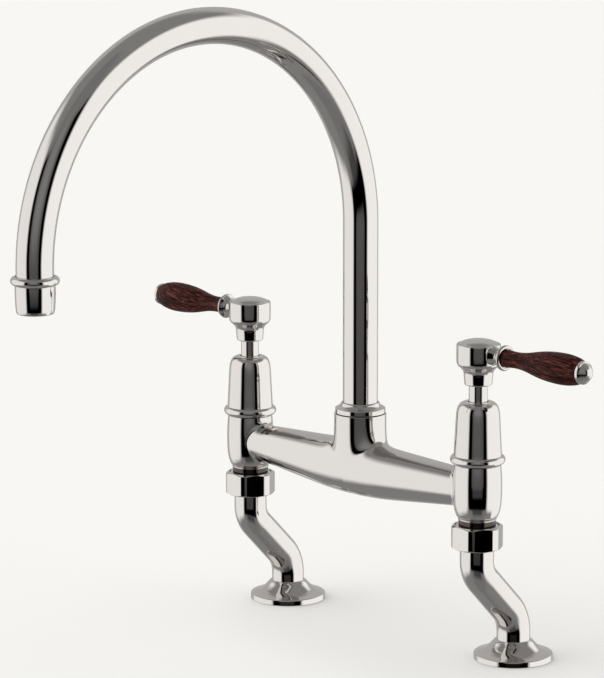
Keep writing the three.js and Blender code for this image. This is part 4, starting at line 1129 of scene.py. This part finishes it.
class FAUCET_OT_finishes(bpy.types.Operator):
    """Makes every finish, and gives the inner pieces, which keep their CAD shapes, theirs"""

    bl_idname = "faucet.finishes"
    bl_label = "Finishes"

    def execute(self, context):
        colours = context.scene.faucet_colours
        for make in (
            polished_nickel, turned_rosewood, machined_brass, neck_shade_brass, turned_steel,
            lapped_ceramic, moulded_rubber, pressed_fibre, moulded_acetal,
        ):
            make(colours)
        # The dark brass that paints the neck's shade isn't among them, because no CAD piece wears it
        finishes = (NICKEL, ROSEWOOD, BRASS, STEEL, CERAMIC, RUBBER, FIBRE, ACETAL)
        by_slot = {slot: bpy.data.materials[name] for name, slot in finishes}
        for part in frame["record"]["subparts"]:
            node = frame["nodes"][part["node"]]
            if not node.material_slots:
                node.data.materials.append(None)
            for slot in node.material_slots:
                slot.material = by_slot[part["material_slot"]]
        return {"FINISHED"}


# ---------------------------------------------------------------- studio

# The photographer's cards, as the metal reflects them, each laid over those before it. In degrees: azimuth
# from the camera, to its right, and elevation of the middle, half width and half height, radius of the
# corners and softness of the edge. Last comes the brightness.
STUDIO_CARDS = (
    ((0, 0), (46, 90), (10, 16), 0.205),  # greyer ceiling and table on the camera's side
    ((180, 6), (52, 43), (20, 10), 0.50),  # wall behind the object
    ((-90, 4), (42, 38), (22, 8), 1.04),  # left softbox
    ((92, 3.5), (48, 34), (12, 7), 1.18),  # right softbox
    ((104, -26), (24, 19), (18, 6), 1.18),  # its lower part
    ((-2, -33), (26, 10), (8, 8), 0.07),  # shade under the camera
    ((-2.7, 5), (43.7, 33), (6, 3), 0.0),  # black frame round the camera
    ((-2.5, 14.7), (27.5, 29.0), (9, 2.5), 0.088),  # grey sheet inside the frame
    ((-4, 22), (22, 27), (12, 10), 0.17),  # its upper part, better lit
    ((-4, 28), (17, 24), (12, 12), 0.245),  # and brighter still higher up
)
STUDIO_GREY = 0.265  # where no card stands
FLOOR_SIZE = 24  # m
LAMP_PLACE = (-1, -1, 3)
LAMP_TURN = (math.radians(20), math.radians(-25), 0)
LAMP_POWER = 2.07
LAMP_SPREAD = math.radians(100)
CAMERA_AZIMUTH = math.radians(46.04)
CAMERA_PITCH = math.radians(10.51)
CAMERA_DISTANCE = 2.16898
CAMERA_TARGET = (-0.02628, 0.19896)  # right of the spout's axis, and height
SENSOR = 36  # mm; it stands for the picture's height, the longer side
PICTURE = (604, 678)  # pixels
FOCAL_LENGTH = 3471.71  # in the same pixels
PICTURE_MIDDLE = (318.36, 327.89)  # where the lens points


def card_mask(tree, azimuth, elevation, middle, half, rim):
    """One where a direction falls on a card with rounded corners, zero beside it, with a soft edge."""
    corner, softness = rim
    past = []
    for angle, centre, reach in zip((azimuth, elevation), middle, half):
        off = add(tree, "ShaderNodeMath", {"operation": "SUBTRACT", 1: math.radians(centre)}, {0: angle})
        turn = add(
            tree, "ShaderNodeMath", {"operation": "WRAP", 1: math.pi, 2: -math.pi}, {0: off.outputs[0]}
        )
        size = add(tree, "ShaderNodeMath", {"operation": "ABSOLUTE"}, {0: turn.outputs[0]})
        straight = math.radians(reach - corner)
        beyond = add(tree, "ShaderNodeMath", {"operation": "SUBTRACT", 1: straight}, {0: size.outputs[0]})
        past.append(add(tree, "ShaderNodeMath", {"operation": "MAXIMUM", 1: 0.0}, {0: beyond.outputs[0]}))
    both = add(tree, "ShaderNodeCombineXYZ", links={0: past[0].outputs[0], 1: past[1].outputs[0]})
    distance = add(tree, "ShaderNodeVectorMath", {"operation": "LENGTH"}, {0: both.outputs[0]})
    inner, outer = (math.radians(corner + sign * softness) for sign in (-1, 1))
    mask = add(
        tree, "ShaderNodeMapRange",
        {"interpolation_type": "SMOOTHSTEP", "From Min": outer, "From Max": inner},
        {"Value": distance.outputs["Value"]},
    )
    return mask.outputs["Result"]


def light_world(pale):
    """The studio round the object. The camera sees the pale backdrop, and the metal reflects the cards."""
    world = bpy.data.worlds.new("Studio")
    bpy.context.scene.world = world
    world.use_nodes = True
    tree = world.node_tree
    background = tree.nodes["Background"]
    way = add(tree, "ShaderNodeTexCoord").outputs["Generated"]
    base = math.atan2(-math.cos(CAMERA_AZIMUTH), math.sin(CAMERA_AZIMUTH))
    facing = add(tree, "ShaderNodeVectorRotate", {"rotation_type": "Z_AXIS", "Angle": -base}, {"Vector": way})
    axes = add(tree, "ShaderNodeSeparateXYZ", links={0: facing.outputs[0]}).outputs
    azimuth = add(tree, "ShaderNodeMath", {"operation": "ARCTAN2"}, {0: axes["Y"], 1: axes["X"]}).outputs[0]
    elevation = add(tree, "ShaderNodeMath", {"operation": "ARCSINE"}, {0: axes["Z"]}).outputs[0]
    seen = add(tree, "ShaderNodeValue")
    seen.outputs[0].default_value = STUDIO_GREY
    for middle, half, rim, brightness in STUDIO_CARDS:
        mask = card_mask(tree, azimuth, elevation, middle, half, rim)
        seen = add(tree, "ShaderNodeMix", {3: brightness}, {0: mask, 2: seen.outputs[0]})
    rays = add(tree, "ShaderNodeLightPath").outputs
    shown = add(
        tree, "ShaderNodeMix", {"data_type": "RGBA", 7: (*pale, 1)},
        {0: rays["Is Camera Ray"], 6: seen.outputs[0]},
    )
    tree.links.new(shown.outputs[2], background.inputs["Color"])


class FAUCET_OT_stage(bpy.types.Operator):
    """Lays the pale floor, lights the studio, and sets the camera where the photograph was taken from"""

    bl_idname = "faucet.stage"
    bl_label = "Floor, Light and Camera"

    def execute(self, context):
        scene = context.scene
        pale = tuple(scene.faucet_colours.floor)
        bpy.ops.object.select_all(action="DESELECT")
        bpy.ops.mesh.primitive_plane_add(size=FLOOR_SIZE, location=(0, 0, 0))
        floor = bpy.context.active_object
        floor.name = "Floor"
        # Metal shows the studio's cards and backdrop where the floor would be, as in the photograph
        floor.visible_glossy = False
        matte = bpy.data.materials.new("Matte paper floor")
        matte.use_nodes = True
        shader = matte.node_tree.nodes["Principled BSDF"]
        shader.inputs["Base Color"].default_value = (*pale, 1)
        shader.inputs["Roughness"].default_value = 1.0
        shader.inputs["Specular IOR Level"].default_value = 0.0
        floor.data.materials.append(matte)
        light_world(pale)

        bpy.ops.object.light_add(type="SUN", location=LAMP_PLACE, rotation=LAMP_TURN)
        overhead = bpy.context.active_object
        overhead.name = "Overhead softbox"
        overhead.data.energy = LAMP_POWER
        overhead.data.angle = LAMP_SPREAD
        overhead.visible_glossy = False

        right = Vector((math.cos(CAMERA_AZIMUTH), math.sin(CAMERA_AZIMUTH), 0))
        back = Vector((
            math.sin(CAMERA_AZIMUTH) * math.cos(CAMERA_PITCH),
            -math.cos(CAMERA_AZIMUTH) * math.cos(CAMERA_PITCH),
            math.sin(CAMERA_PITCH),
        ))
        target = right * CAMERA_TARGET[0] + Vector((0, 0, CAMERA_TARGET[1]))
        bpy.ops.object.camera_add(location=target + back * CAMERA_DISTANCE)
        camera = bpy.context.active_object
        camera.name = "Camera"
        camera.rotation_mode = "QUATERNION"
        camera.rotation_quaternion = (-back).to_track_quat("-Z", "Y")
        wide, high = PICTURE
        camera.data.sensor_width = SENSOR
        camera.data.lens = FOCAL_LENGTH / high * SENSOR
        camera.data.shift_x = (wide / 2 - PICTURE_MIDDLE[0]) / high
        camera.data.shift_y = (PICTURE_MIDDLE[1] - high / 2) / high
        camera.data.clip_end = 50
        scene.camera = camera
        scene.view_settings.view_transform = "Standard"
        return {"FINISHED"}


# ---------------------------------------------------------------- add-on

PIECES = (
    FAUCET_OT_finishes,
    FAUCET_OT_bridge,
    FAUCET_OT_collar,
    FAUCET_OT_spout,
    FAUCET_OT_outlet,
    FAUCET_OT_valve_bodies,
    FAUCET_OT_shrouds,
    FAUCET_OT_hubs,
    FAUCET_OT_lever_arms,
    FAUCET_OT_grips,
    FAUCET_OT_legs,
    FAUCET_OT_union_nuts,
    FAUCET_OT_foot_flanges,
    FAUCET_OT_stage,
)


class FAUCET_PT_sidebar(bpy.types.Panel):
    """Lists the faucet's sizes and pieces"""

    bl_idname = "FAUCET_PT_sidebar"
    bl_label = "Bridge Faucet"
    bl_space_type = "VIEW_3D"
    bl_region_type = "UI"
    bl_category = "Faucet"

    def draw(self, context):
        for group in GROUPS:
            box = self.layout.box()
            for name in GROUPS[group].__annotations__:
                box.prop(getattr(context.scene, group), name)
        for piece in PIECES:
            self.layout.operator(piece.bl_idname)


def register():
    for group, kind in GROUPS.items():
        bpy.utils.register_class(kind)
        setattr(bpy.types.Scene, group, PointerProperty(type=kind))
    for kind in (*PIECES, FAUCET_PT_sidebar):
        bpy.utils.register_class(kind)


def unregister():
    for kind in reversed((*PIECES, FAUCET_PT_sidebar)):
        bpy.utils.unregister_class(kind)
    for group, kind in reversed(GROUPS.items()):
        delattr(bpy.types.Scene, group)
        bpy.utils.unregister_class(kind)


def main():
    register()
    for piece in PIECES:
        getattr(bpy.ops.faucet, piece.bl_idname.split(".")[1])()
    bpy.ops.object.select_all(action="DESELECT")


if __name__ == "__main__":
    main()
